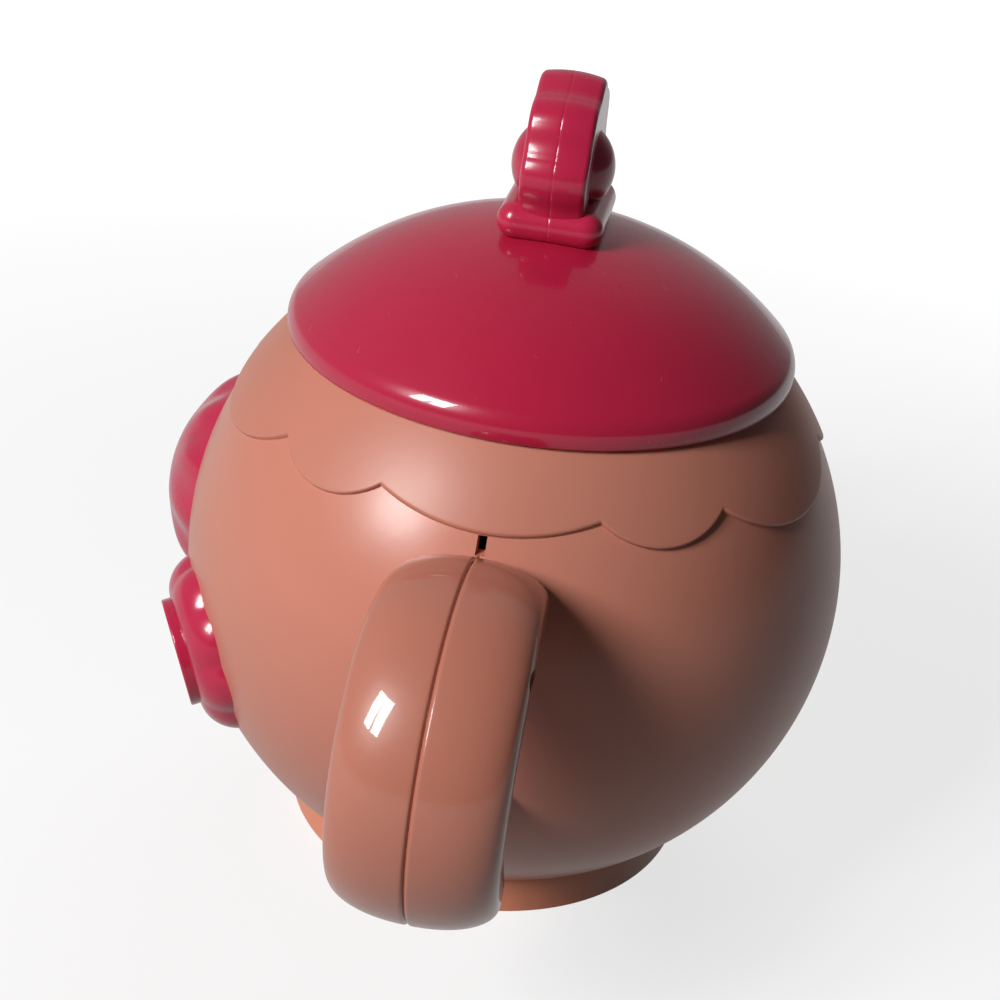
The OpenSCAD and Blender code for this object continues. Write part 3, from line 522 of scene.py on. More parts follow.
@dataclass(frozen=True)
class MouldedPlastic(Finish):
    """Moulded plastic: a clear skin with faint flow marks, hairline scratches, specks and orange peel."""

    name: str
    colour: Colour
    roughness: float
    coat: float = 0.3
    mottle: float = 0.1
    scratches: float = 1.0
    specks: float = 0.5
    specular: float = 0.5
    coat_roughness: float = 0.06
    cloud_scale: float = 32.0
    smear_scale: float = 75.0
    peel_scale: float = 520.0
    grain_scale: float = 2600.0
    speck_scale: float = 210.0
    speck_share: float = 0.05
    speck_edge: Pair = (0.03, 0.085)
    speck_tint: float = 0.35
    speck_dark: float = 0.42
    scratch_l: float = 0.055
    scratch_w: float = 0.0011
    scratch_crest: Pair = (0.755, 0.79)
    scratch_turns: tuple[Angles, Angles] = ((0.4, 0.9, 0.3), (1.9, 0.2, 1.1))
    scratch_finer: float = 1.3
    scratch_tint: float = 0.08
    scratch_grey: float = 0.8
    scratch_fade: float = 0.4
    break_scale: float = 90.0
    break_edge: Pair = (0.5, 0.62)
    flow_gain: float = 4.0
    tints: Pair = (0.93, 1.07)
    smear_gloss: float = 0.1
    scratch_gloss: float = 0.12
    speck_gloss: float = 0.1
    peel_h: float = 0.6
    grain_h: float = 0.12
    scratch_h: float = 0.2
    bump: Pair = (0.12, 0.0002)
    ior: float = 1.5

    def scratch_mask(self, tree: Tree, turn: Sequence[float], scale: float) -> Value:
        """Short thin lines: crests of a noise drawn out along one direction, broken up by a second noise.

        Args:
            tree: the material's tree.
            turn: angles in radians that turn the lines.
            scale: how many times finer than the written size they are.

        Returns:
            One on a line, else zero.
        """
        long, thin = self.scratch_l / scale, self.scratch_w / scale
        lines = tree.noise(1.0, 1.0, tree.stretched((long, thin, thin), turn))
        crest = tree.ramp(lines, *self.scratch_crest)
        return crest * tree.ramp(tree.noise(self.break_scale * scale, 1.0), *self.break_edge)

    def inputs(self, tree: Tree) -> dict[Any, Input]:
        """Works out the shader's inputs.

        Args:
            tree: the material's tree.

        Returns:
            Colour, gloss and relief that change over the surface.
        """
        cloud = tree.noise(self.cloud_scale, 4.0)
        smear = tree.noise(self.smear_scale, 3.0)
        peel = tree.noise(self.peel_scale, 1.5)
        grain = tree.noise(self.grain_scale, 1.0)
        first, second = self.scratch_turns
        coarse = self.scratch_mask(tree, first, 1.0)
        lines = coarse.or_more(self.scratch_mask(tree, second, self.scratch_finer)) * self.scratches
        spread = {"Vector": tree.place(), "Scale": self.speck_scale, "Randomness": 1.0}
        cells = tree.node("ShaderNodeTexVoronoi", {"feature": "F1"}, spread)
        dot = Value(tree, cells.outputs["Distance"])
        pick = tree.value("ShaderNodeSeparateColor", {}, {0: cells.outputs["Color"]}, "Red")
        speck = (1.0 - tree.ramp(dot, *self.speck_edge)) * (pick > 1.0 - self.speck_share) * self.specks
        flow = (cloud - 0.5) * self.mottle * self.flow_gain + 0.5
        rubbed = tuple((1 - self.scratch_fade) * c + self.scratch_fade * self.scratch_grey for c in self.colour)
        worn = tree.mix(lines * self.scratch_tint, self.tinted(tree, flow, self.tints), rubbed)
        dusty = tree.mix(speck * self.speck_tint, worn, shaded(self.colour, self.speck_dark))
        gloss = (smear - 0.5) * self.smear_gloss + self.roughness
        gloss = gloss + lines * self.scratch_gloss + speck * self.speck_gloss
        relief = peel * self.peel_h + grain * self.grain_h - lines * self.scratch_h
        return {
            "Base Color": dusty,
            "Roughness": gloss,
            "IOR": self.ior,
            "Specular IOR Level": self.specular,
            "Coat Weight": self.coat,
            "Coat Roughness": self.coat_roughness,
            "Coat IOR": self.ior,
            "Normal": tree.bump(relief, *self.bump),
        }


@dataclass(frozen=True)
class MattePlastic(Finish):
    """Plain inner plastic or paper with a fine tooth and faint stains."""

    name: str
    colour: Colour
    roughness: float
    tooth: float = 900.0
    cloud_scale: float = 60.0
    cloud_gloss: float = 0.2
    tints: Pair = (0.86, 1.12)
    bump: Pair = (0.25, 0.0002)

    def inputs(self, tree: Tree) -> dict[Any, Input]:
        """Works out the shader's inputs.

        Args:
            tree: the material's tree.

        Returns:
            A relief with a fine tooth and a colour with clouds.
        """
        cloud = tree.noise(self.cloud_scale, 4.0)
        tooth = tree.noise(self.tooth, 2.0)
        return {
            "Base Color": self.tinted(tree, cloud, self.tints),
            "Roughness": (cloud - 0.5) * self.cloud_gloss + self.roughness,
            "Normal": tree.bump(tooth, *self.bump),
        }


@dataclass(frozen=True)
class PlatedSteel(Finish):
    """Zinc-plated steel with turned marks and dull patches."""

    name: str
    colour: Colour = (0.62, 0.62, 0.63)
    roughness: float = 0.32
    patch_scale: float = 240.0
    patch_gloss: float = 0.25
    mark_l: float = 0.004
    mark_w: float = 0.0002
    mark_turn: Angles = (0.3, 0.5, 0.8)
    mark_gloss: float = 0.08
    tints: Pair = (0.8, 1.15)
    bump: Pair = (0.15, 0.0001)

    def inputs(self, tree: Tree) -> dict[Any, Input]:
        """Works out the shader's inputs.

        Args:
            tree: the material's tree.

        Returns:
            A metal whose gloss is broken by fine marks.
        """
        patch = tree.noise(self.patch_scale, 3.0)
        marks = tree.noise(1.0, 1.0, tree.stretched((self.mark_l, self.mark_w, self.mark_w), self.mark_turn))
        return {
            "Base Color": self.tinted(tree, patch, self.tints),
            "Metallic": 1.0,
            "Roughness": (patch - 0.5) * self.patch_gloss + self.roughness + marks * self.mark_gloss,
            "Normal": tree.bump(marks, *self.bump),
        }


@dataclass(frozen=True)
class SolderMask(Finish):
    """Green lacquer of a circuit board, with lighter tracks under it."""

    name: str
    colour: Colour = (0.02, 0.13, 0.05)
    roughness: float = 0.25
    cell_scale: float = 190.0
    track_starts: Pair = (0.42, 0.5)
    track_ends: Pair = (0.58, 0.66)
    tints: Pair = (1.0, 2.1)
    smear_scale: float = 300.0
    smear_gloss: float = 0.15
    bump: Pair = (0.3, 0.0001)

    def inputs(self, tree: Tree) -> dict[Any, Input]:
        """Works out the shader's inputs.

        Args:
            tree: the material's tree.

        Returns:
            A network of tracks from the edges of square cells.
        """
        cells = {"Vector": tree.place(), "Scale": self.cell_scale}
        edge = tree.value("ShaderNodeTexVoronoi", {"feature": "F1", "distance": "MANHATTAN"}, cells)
        track = tree.ramp(edge, *self.track_starts) * (1.0 - tree.ramp(edge, *self.track_ends))
        return {
            "Base Color": self.tinted(tree, track, self.tints),
            "Roughness": tree.noise(self.smear_scale, 2.0) * self.smear_gloss + self.roughness,
            "Normal": tree.bump(track, *self.bump),
        }


class Finishes:
    """Every material of the teapot, made once."""

    def __init__(self) -> None:
        """Builds the materials."""
        satin = {"coat": 0.0, "specular": 0.4}
        silky = {"coat": 0.5, "specular": 0.3, "coat_roughness": 0.14}
        glossy = {"coat": 0.6, "specular": 0.3, "coat_roughness": 0.035}
        self.tan = MouldedPlastic("tan_plastic", (0.58, 0.215, 0.15), 0.31, **satin).material()
        # Handle: the body's plastic with a darker colour that paints in the shade the handle lies in, and its own
        # higher gloss.
        shaded_grip = MouldedPlastic("handle_plastic", (0.48, 0.168, 0.112), 0.34, scratches=0.6, **glossy)
        self.handle = shaded_grip.material()
        self.collar = MouldedPlastic("collar_plastic", (0.55, 0.205, 0.143), 0.4, **satin).material()
        # Foot: a brighter orange than the body's tan, which is the foot's own colour with painted bounce light
        # from the floor on top.
        self.foot = MouldedPlastic("foot_plastic", (0.78, 0.27, 0.15), 0.34, **satin).material()
        self.lid = MouldedPlastic("lid_plastic", (0.46, 0.012, 0.05), 0.26, mottle=0.07, **glossy).material()
        self.red = MouldedPlastic("red_plastic", (0.5, 0.015, 0.062), 0.27, specks=0.3, **silky).material()
        self.by_slot: dict[Slot, bpy.types.Material] = {
            Slot.TAN: self.tan,
            Slot.FOOT: self.foot,
            Slot.RED: self.red,
            Slot.WHITE: MattePlastic("white_plastic", (0.78, 0.74, 0.67), 0.45).material(),
            Slot.DARK: MattePlastic("dark_plastic", (0.025, 0.025, 0.03), 0.42).material(),
            Slot.BOARD: SolderMask("board_mask").material(),
            Slot.STEEL: PlatedSteel("screw_steel").material(),
            Slot.CELL: MattePlastic("cell_skin", (0.33, 0.34, 0.36), 0.3).material(),
            Slot.CONE: MattePlastic("cone_paper", (0.05, 0.045, 0.04), 0.8, 500.0).material(),
        }


# Pieces


@dataclass
class Bench:
    """Puts finished meshes into the scene and ties each to its body and its solids."""

    finishes: Finishes
    copy_weld_mm: float = 10 * WELD_MM
    made: list[bpy.types.Object] = field(default_factory=list)

    def add(
        self,
        mesh: bpy.types.Mesh,
        body: Body,
        slot: Slot,
        materials: Sequence[bpy.types.Material],
        nodes: Sequence[str],
    ) -> bpy.types.Object:
        """Adds one piece.

        Args:
            mesh: its mesh, in the row frame.
            body: the body that it rides on.
            slot: not used.
            materials: its materials, by the faces' material numbers.
            nodes: the CAD nodes that it stands for.

        Returns:
            The piece.
        """
        piece = into_scene(mesh.name, mesh)
        if mesh.materials:
            mesh.materials.clear()
        for material in materials:
            mesh.materials.append(material)
        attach(piece, body.value)
        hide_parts(*nodes)
        self.made.append(piece)
        LOG.info("%s: %d faces on %s for %s", mesh.name, len(mesh.polygons), body.value, ", ".join(nodes))
        return piece

    def smooth_copy(
        self, node: str, name: str, body: Body, slot: Slot, sharp_deg: float = 28.0
    ) -> bpy.types.Object:
        """Stands a welded, smoothly shaded copy of a CAD node in its place.

        Args:
            node: the CAD node.
            name: the piece's name.
            body: the body that it rides on.
            slot: the record's slot of its finish.
            sharp_deg: edges that turn by more than this stay crisp.

        Returns:
            The piece.
        """
        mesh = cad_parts[node].data.copy()
        mesh.name = name
        with editing(mesh) as work:
            bmesh.ops.remove_doubles(work, verts=work.verts, dist=self.copy_weld_mm * MM)
        shade(mesh, sharp_deg)
        return self.add(mesh, body, slot, [self.finishes.by_slot[slot]], [node])

    def dress_node(self, node: str, slot: Slot) -> None:
        """Gives a CAD node that stays as it is the finish of its slot.

        Args:
            node: the CAD node.
            slot: the record's slot of its finish.
        """
        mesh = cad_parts[node].data
        mesh.materials.clear()
        mesh.materials.append(self.finishes.by_slot[slot])
        LOG.info("%s: kept, with %s", node, slot.value)


def cut(mesh: bpy.types.Mesh, cutter: Surface) -> bpy.types.Mesh:
    """Takes a closed skin away from a closed mesh.

    Args:
        mesh: the mesh that is cut.
        cutter: the closed skin.

    Returns:
        A new mesh with what is left.
    """
    blade_mesh = cutter.mesh(mesh.name + "_blade", BLADE_SHARP)
    work, blade = (into_scene(each.name, each) for each in (mesh, blade_mesh))
    knife = work.modifiers.new("cut", "BOOLEAN")
    knife.operation, knife.solver, knife.object = "DIFFERENCE", "EXACT", blade
    graph = bpy.context.evaluated_depsgraph_get()
    left = bpy.data.meshes.new_from_object(work.evaluated_get(graph))
    for item in (work, blade):
        bpy.data.objects.remove(item)
    bpy.data.meshes.remove(blade_mesh)
    return left


def together(name: str, meshes: Sequence[tuple[bpy.types.Mesh, int]], sharp_deg: float) -> bpy.types.Mesh:
    """One mesh of several, each with its own material number.

    Args:
        name: the new mesh's name.
        meshes: pairs of a mesh and its material number.
        sharp_deg: edges that turn by more than this stay crisp.

    Returns:
        The new mesh.
    """
    made = bpy.data.meshes.new(name)
    with editing(made) as work:
        for mesh, _ in meshes:
            work.from_mesh(mesh)
    numbers = [np.full(len(mesh.polygons), number, dtype=np.int32) for mesh, number in meshes]
    made.polygons.foreach_set("material_index", np.concatenate(numbers))
    shade(made, sharp_deg)
    return made


@dataclass
class Ball:
    """The round body that everything else is placed on."""

    radius: float = 70.0
    rise: float = 61.996
    wall: float = 2.4

    def up(self, points: Array) -> Array:
        """Points given from the ball's centre, taken to the row frame."""
        return points + np.array([0.0, 0.0, self.rise])

    def on(self, az: float, lat: float) -> Callable[[Array], Array]:
        """Places a piece on the ball's surface, its +z pointing straight out.

        Args:
            az: azimuth in degrees.
            lat: latitude in degrees.

        Returns:
            A function that takes local points to the row frame: out by the radius, turned by 90 - lat
            about y, then by az about z, and up to the ball's centre.
        """
        a, b = math.radians(az), math.radians(90 - lat)
        tip = np.array([[math.cos(b), 0, math.sin(b)], [0, 1, 0], [-math.sin(b), 0, math.cos(b)]])
        turn = np.array([[math.cos(a), -math.sin(a), 0], [math.sin(a), math.cos(a), 0], [0, 0, 1]])
        return lambda p: self.up((p + np.array([0, 0, self.radius])) @ (turn @ tip).T)

    def dip(self, r: Array) -> Array:
        """Height of the ball's surface, below its highest point, at a distance from the axis."""
        return np.sqrt(self.radius**2 - np.minimum(r, self.radius) ** 2) - self.radius


BALL = Ball()


@dataclass
class PotShell:
    """The two moulded halves: ball, ring handle and spout, with the seam's groove between them."""

    foot_r: float = 45.3
    top: float = 46.5
    groove_w: float = 0.42
    groove_depth: float = 0.6
    groove_soft: float = 0.22
    groove_ease: float = 0.4
    seam: tuple[float, ...] = (0.0, 0.14, 0.28, 0.38, 0.48, 0.62, 0.85, 1.3)
    slot_half: float = 0.7
    slot_low: float = 33.06
    slot_high: float = 37.3
    slot_edge: float = 0.01
    rows: int = 150
    cols: int = 170
    handle_reach: float = 80.5
    handle_lift: float = 7.0
    handle_r: float = 31.8
    hole_r: float = 17.5
    handle_w: float = 14.6
    handle_power: float = 3.6
    handle_crown: float = 0.28
    handle_end: float = 148.0
    handle_cols: int = 40
    handle_steps: int = 220
    inner_sink: float = 0.5
    narrow_from: float = 55.0
    narrow_run: float = 70.0
    narrow_low: float = 0.24
    narrow_high: float = 0.06
    spout_tilt: float = 45.0
    spout_l: float = 80.0
    spout_root_r: float = 23.8
    spout_tip_r: float = 12.5
    spout_power: float = 2.2
    spout_bead_r: float = 2.0
    spout_bead_arc: Pair = (-100.0, 190.0)
    spout_bead_gap: float = 2.6
    spout_lip: float = 1.0
    spout_bore: float = 26.0
    spout_rows: tuple[int, int] = (40, 26)
    spout_cols: int = 64
    bead_steps: int = 30
    spout_from: Pair = (-42.0, -18.9)
    posts: tuple[Pair, ...] = ((-50.4, -33.6), (-52.5, 28.0), (35.6, -46.1))
    post_turns: tuple[float, ...] = (62.0, -62.0)
    post_r: float = 4.0
    well_r: float = 2.85
    well_floor: float = 4.0
    post_end: float = 0.02
    bore_steps: int = 40
    part_sharp: float = 30.0
    shell_sharp: float = 32.0

    def groove(self, off: Array) -> Array:
        """Depth of the seam's groove at a distance from the seam: a V, its upper edges eased by a square root."""
        slope = self.groove_depth * (1 - off / self.groove_w)
        return 0.5 * (slope + np.sqrt(slope**2 + self.groove_soft**2)) - 0.5 * self.groove_soft * self.groove_ease

    def seam_offsets(self) -> Array:
        """Distances from the seam at which the skin has a row of points; at the last the groove has faded."""
        return np.array(self.seam)

    def drop(self, off: Array) -> Array:
        """The groove's depth, faded to nothing at the last of the seam's offsets."""
        end = self.seam_offsets()[-1]
        return np.maximum(self.groove(off) - self.groove(np.array(end)), 0.0)

    def ball_half(self) -> Surface:
        """Front half of the hollow ball.

        At height z a point lies sqrt(radius^2 - z^2) from the axis, at an angle that runs from seam to seam.
        Beside the seam the points keep fixed distances from it and sink by the groove's depth. In the slot's
        heights the skin stops short of the seam and runs straight in through the wall.

        Returns:
            The closed shell.
        """
        inner_r = BALL.radius - BALL.wall
        foot_z = -math.sqrt(BALL.radius**2 - self.foot_r**2)
        lats = np.linspace(math.asin(foot_z / BALL.radius), math.asin(self.top / BALL.radius), self.rows)
        ends = np.array([self.slot_low, self.slot_high])
        z = np.concatenate([BALL.radius * np.sin(lats), ends - self.slot_edge, ends + self.slot_edge])
        z = np.sort(z)
        slot = ((z > self.slot_low) & (z < self.slot_high))[:, None]
        offs = self.seam_offsets()
        u = np.linspace(0, 1, self.cols)[1:-1]

        def skin(radius: float, carve: float) -> Array:
            """Points of one skin of the shell.

            Args:
                radius: the skin's radius.
                carve: the share of the groove's depth that it sinks by at the seam.

            Returns:
                A grid of points: rows over z, columns from the handle's seam to the spout's.
            """
            near = np.where(slot, np.maximum(offs, self.slot_half), offs)
            sink = np.where(slot, np.where(offs < self.slot_half, BALL.wall, 0.0), self.drop(offs)) * carve
            r_near = np.sqrt((radius - sink) ** 2 - z[:, None] ** 2)
            far = np.broadcast_to(offs[::-1], near.shape)
            r_far = np.sqrt((radius - self.drop(far) * carve) ** 2 - z[:, None] ** 2)
            flat = np.sqrt(radius**2 - z[:, None] ** 2)
            start, end = np.arcsin(offs[-1] / flat), np.pi - np.arcsin(offs[-1] / flat)
            a = start + (end - start) * u
            x = np.concatenate(
                [np.sqrt(r_near**2 - near**2), flat * np.cos(a), -np.sqrt(r_far**2 - far**2)], axis=1
            )
            y = np.concatenate([-near, -flat * np.sin(a), -far], axis=1)
            return np.stack([x, y, z[:, None] + 0 * x], axis=-1)

        outer, inner = skin(BALL.radius, 1.0), skin(inner_r, 0.0)
        loops = np.concatenate([outer, inner[::-1]]).transpose(1, 0, 2)
        return Surface.loft(loops).moved(BALL.up)

    def handle_outline(self) -> Array:
        """Half section of the handle's ring as [radius from the ring's axis, distance from the seam].

        It is half of a rounded oval, |x / a|^n + |y / b|^n = 1, taken at x = a cos(t)^(2 / n) and
        y = b sin(t)^(2 / n), whose faces are crowned by a share of (y / b)^2 and whose outer face sinks into
        the groove.

        Returns:
            The outline from the outer seam round to the inner seam, with an even number of points.
        """
        n, w = self.handle_power, self.handle_w
        offs = self.seam_offsets()
        near = np.arcsin((offs / w) ** (n / 2))
        turn = np.concatenate([near, np.linspace(near[-1], np.pi / 2, self.handle_cols)[1:]])
        x = 0.5 * (self.handle_r - self.hole_r) * np.cos(turn) ** (2 / n)
        y = w * np.sin(turn) ** (2 / n)
        x = x * (1 - self.handle_crown * (y / w) ** 2)
        sink = np.concatenate([self.drop(offs), np.zeros(len(turn) - len(offs))])
        middle = 0.5 * (self.handle_r + self.hole_r)
        outer = np.stack([middle + x - sink, y], axis=-1)
        inner = np.stack([middle - x + self.inner_sink * sink, y], axis=-1)
        return np.concatenate([outer, inner[::-1]])

    def handle_half(self) -> Surface:
        """Front half of the handle: its section carried round the ring's axis, with both ends inside the ball.

        Towards the ball the section narrows by a share that grows smoothly over the last stretch of either arm.

        Returns:
            The closed half.
        """
        outline = self.handle_outline()
        turn = np.radians(np.linspace(-self.handle_end, self.handle_end, self.handle_steps))[:, None]
        way = np.clip((np.abs(np.degrees(turn)) - self.narrow_from) / self.narrow_run, 0, 1)
        narrow = 1 - np.where(turn < 0, self.narrow_low, self.narrow_high) * way**2 * (3 - 2 * way)
        r, off = outline[:, 0], outline[:, 1]
        x, z = self.handle_reach + r * np.cos(turn), self.handle_lift + r * np.sin(turn)
        return Surface.loft(np.stack([x, -off * narrow, z], axis=-1)).moved(BALL.up)

    def spout_half(self) -> Surface:
        """Front half of the spout: its outline turned half round its tilted axis.

        The radius falls from root to tip by a power of the way left, a round bead closes the tip, and a blind
        bore runs back from it.

        Returns:
            The closed half.
        """
        bore_s = self.spout_l - self.spout_bore

        def radius(s: Array) -> Array:
            """Radius of the spout at a distance from its root."""
            left = np.maximum(1 - s / self.spout_l, 0)
            return self.spout_tip_r + (self.spout_root_r - self.spout_tip_r) * left**self.spout_power

        full, hollow = self.spout_rows
        neck = np.linspace(bore_s, self.spout_l - self.spout_bead_gap, hollow)
        s = np.concatenate([np.linspace(0, bore_s, full), neck])
        bead = arc(self.spout_tip_r, self.spout_l, self.spout_bead_r, *self.spout_bead_arc, self.bead_steps)
        outer = np.concatenate([np.stack([radius(s), s], axis=-1), bead])
        open_bore = np.arange(len(s)) >= full
        wall_r = np.where(open_bore, radius(s) - BALL.wall, 0.0)
        lip = np.broadcast_to([self.spout_tip_r - BALL.wall, self.spout_l - self.spout_lip], bead.shape)
        inner = np.concatenate([np.stack([wall_r, s], axis=-1), lip])
        outline = np.concatenate([outer, inner[::-1]])
        r, along = outline[:, 0], outline[:, 1]
        carved = np.concatenate([np.ones(len(s)), np.zeros(len(outline) - len(s))])
        offs = self.seam_offsets() / self.spout_root_r
        between = np.linspace(offs[-1], np.pi - offs[-1], self.spout_cols)[1:-1]
        swing = np.concatenate([offs, between, np.pi - offs[::-1]])
        away = np.minimum(swing, np.pi - swing)[:, None]
        sink = np.where(away < offs[-1] + 1e-9, self.drop(away * r), 0.0) * carved
        swing, rr = swing[:, None], r - sink
        tilt = math.radians(self.spout_tilt)
        side, y = rr * np.cos(swing), -rr * np.sin(swing)
        x = self.spout_from[0] - along * math.cos(tilt) + side * math.sin(tilt)
        z = self.spout_from[1] + along * math.sin(tilt) + side * math.cos(tilt)
        return Surface.loft(np.stack([x, y, z], axis=-1)).moved(BALL.up)

    def handle_wells(self) -> list[Pair]:
        """Finds the case screws' wells in the handle.

        Returns:
            Their places [x, z] from the ball's centre.
        """
        r = 0.5 * (self.handle_r + self.hole_r)
        turns = [math.radians(t) for t in self.post_turns]
        return [(self.handle_reach + r * math.cos(t), self.handle_lift + r * math.sin(t)) for t in turns]

    def bore(self, place: Pair, end: float) -> Surface:
        """Round bore along +y from a well's floor out past the surface.

        Args:
            place: [x, z] of its axis.
            end: how far out it runs.

        Returns:
            The closed bore.
        """
        r = self.well_r
        outline = np.array([[0, self.well_floor], [r, self.well_floor], [r, end], [0, end]], dtype=float)
        lathe = Surface.lathe(outline, self.bore_steps)
        x, z = place
        return lathe.moved(lambda p: BALL.up(np.stack([p[:, 0] + x, p[:, 2], p[:, 1] + z], axis=-1)))

    def post(self, place: Pair) -> Surface:
        """Tube round a well inside the ball, its outer end following the ball's inner half of the wall.

        Args:
            place: [x, z] of its axis.

        Returns:
            The closed tube with its floor.
        """
        r_in, r_out, floor, end = self.well_r, self.post_r, self.well_floor, self.post_end
        r = np.array([0, r_out, r_out, r_in, r_in, 0, 0])
        level = np.array([end, end, -1, -1, floor, floor, end])
        a = np.linspace(0, 2 * np.pi, self.bore_steps, endpoint=False)[:, None]
        x, z = place[0] + r * np.cos(a), place[1] + r * np.sin(a)
        out = np.sqrt((BALL.radius - EMBED) ** 2 - x**2 - z**2)
        y = np.where(level < 0, out, level + 0 * x)
        return Surface.grid(np.stack([x, y, z], axis=-1)).moved(BALL.up)

    def build(self, bench: Bench) -> None:
        """Makes both halves and their wells, and dresses them.

        Args:
            bench: where the pieces go.
        """
        # The handle's faces take the handle finish, whose darker colour is painted shade.
        looks, crisp = [bench.finishes.tan, bench.finishes.handle], self.part_sharp
        ball, handle, spout = self.ball_half(), self.handle_half(), self.spout_half()
        front = [(ball.mesh("ball", crisp), 0), (handle.mesh("handle", crisp), 1), (spout.mesh("spout", crisp), 0)]
        mesh = together("front_shell", front, self.shell_sharp)
        bench.add(mesh, Body.POT, Slot.TAN, looks, ["body_front_half"])
        wells = Surface.joined([self.bore(p, BALL.radius + EMBED) for p in self.posts])
        holds = Surface.joined([self.bore(p, self.handle_w + EMBED) for p in self.handle_wells()])
        posts = Surface.joined([self.post(p) for p in self.posts])
        back = [
            (cut(ball.mirrored().mesh("ball", crisp), wells), 0),
            (cut(handle.mirrored().mesh("handle", crisp), holds), 1),
            (spout.mirrored().mesh("spout", crisp), 0),
            (posts.mesh("posts", crisp), 0),
        ]
        mesh = together("back_shell", back, self.shell_sharp)
        bench.add(mesh, Body.POT, Slot.TAN, looks, ["body_back_half"])


@dataclass
class Collar:
    """Thin raised collar with a scalloped lower edge, and the flat seat that it carries under the lid."""

    cusps: tuple[float, ...] = (-20.2, 20.2, 44.5, 88.0, 112.3, 155.8, 204.2)
    lows: tuple[float, ...] = (31.2, 30.2, 28.0, 30.2, 28.0, 31.2)
    cusp_lat: float = 34.3
    thick: float = 1.0
    gap: float = 0.1
    edge_round: float = 0.38
    seat: float = 50.205
    seat_t: float = 2.1
    mouth_r: float = 44.605
    spare_lat: float = 1.2
    patch_reach: float = 1.2
    lip_step: float = 0.25
    seat_edge: float = 0.4
    seat_rounds: tuple[float, float, float] = (0.3, 0.5, 0.2)
    steps: int = 1080
    cusp_gap: float = 0.05
    edge_steps: int = 7
    longest_run: float = 1.0
    rows_up: int = 26
    rows_down: int = 16
    sharp_deg: float = 40.0

    def scallops(self) -> list[tuple[float, float, float]]:
        """Lists the scallops round the whole collar.

        Returns:
            Centre azimuth, half width and lowest latitude of each, in degrees.
        """
        spans = list(zip(self.cusps[:-1], self.cusps[1:], self.lows))
        found = [((a + b) / 2, (b - a) / 2, low) for a, b, low in spans]
        return found + [(-az, half, low) for az, half, low in found if 0 < az < 180]

    def edge(self, az: Array, radius: float) -> Array:
        """Latitude of the collar's lower edge at each azimuth, at a distance from the ball's centre.

        Each scallop is a round patch about a centre on the ball. A patch's lower edge at an azimuth d from its
        centre is where sin(c) sin(lat) + cos(c) cos(lat) cos(d) equals the cosine of the patch's radius.

        Args:
            az: azimuths in degrees.
            radius: distance from the ball's centre.

        Returns:
            Latitudes in radians: the lowest of all patches that reach the azimuth.
        """
        lowest = np.full(az.shape, math.radians(self.cusp_lat + self.spare_lat))
        cusp = math.radians(self.cusp_lat)
        for centre, half, low_deg in self.scallops():
            low, half_w = math.radians(low_deg), math.radians(half)
            rise = math.cos(cusp) * math.cos(half_w) - math.cos(low)
            c = math.atan(rise / (math.sin(low) - math.sin(cusp)))
            reach = math.asin(BALL.radius * math.sin(c - low) / radius)
            d = np.radians((az - centre + 180) % 360 - 180)
            a, b = math.sin(c), math.cos(c) * np.cos(d)
            size = np.hypot(a, b)
            inside = (size > math.cos(reach)) & (np.abs(d) < self.patch_reach * half_w)
            lat = np.arctan2(a, b) - np.arccos(np.clip(math.cos(reach) / size, -1, 1))
            lowest = np.where(inside, np.minimum(lowest, lat), lowest)
        return lowest

    def surface(self) -> Surface:
        """The collar's skin.

        At each azimuth its section runs up the outer ball from the rounded lower edge to the seat, in to the
        mouth, down, and back under the seat and down the inner ball.

        Returns:
            The closed skin.
        """
        cusps = [s * (c - h) for c, h, _ in self.scallops() for s in (-1, 1)]
        even = np.linspace(-180, 180, self.steps, endpoint=False)
        fine = np.concatenate([even] + [[c - self.cusp_gap, c + self.cusp_gap] for c in cusps])
        az = np.unique(np.round((fine + 180) % 360 - 180, 4))
        r_out, r_in = BALL.radius + self.thick, BALL.radius + self.gap
        low_out, low_in = self.edge(az, r_out)[:, None], self.edge(az, r_in)[:, None]
        turn = np.linspace(0, np.pi / 2, self.edge_steps)
        e = self.edge_round
        lip_r = np.concatenate([[BALL.radius - EMBED, r_in + self.lip_step], r_out - e + e * np.sin(turn)])
        lip_lat = np.concatenate([[0.0, 0.0], e * (1 - np.cos(turn)) / r_out])
        blend = np.clip((lip_r - r_in) / (r_out - r_in), 0, 1)
        lat_lip = low_in + (low_out - low_in) * blend + lip_lat
        top = math.asin((self.seat - self.seat_edge) / r_out)
        share = np.linspace(0, 1, self.rows_up)[1:]
        start = lat_lip[:, -1:]
        lat_up = start + (top - start) * share
        seat_r = math.sqrt(r_out**2 - self.seat**2)
        bottom = self.seat - self.seat_t
        inner_r = math.sqrt(r_in**2 - bottom**2)
        rounds = self.seat_rounds
        corners = [
            (seat_r + self.seat_edge, self.seat - self.seat_edge, 0.0),
            (seat_r, self.seat, rounds[0]),
            (self.mouth_r, self.seat, rounds[1]),
            (self.mouth_r, bottom, rounds[2]),
            (inner_r, bottom, 0.0),
        ]
        ledge = rounded(corners, self.longest_run)[1:]
        top_in = math.asin(bottom / r_in)
        lat_down = top_in + (low_in - top_in) * np.linspace(0, 1, self.rows_down)[1:]
        flat = np.concatenate([lip_r * np.cos(lat_lip), r_out * np.cos(lat_up)], axis=1)
        high = np.concatenate([lip_r * np.sin(lat_lip), r_out * np.sin(lat_up)], axis=1)
        rest_r = np.broadcast_to(ledge[:, 0], (len(az), len(ledge)))
        rest_z = np.broadcast_to(ledge[:, 1], (len(az), len(ledge)))
        r = np.concatenate([flat, rest_r, r_in * np.cos(lat_down)], axis=1)
        z = np.concatenate([high, rest_z, r_in * np.sin(lat_down)], axis=1)
        a = np.radians(az)[:, None]
        loops = np.stack([r * np.cos(a), r * np.sin(a), z], axis=-1)
        return Surface.grid(loops, wrap_rows=True).moved(BALL.up)

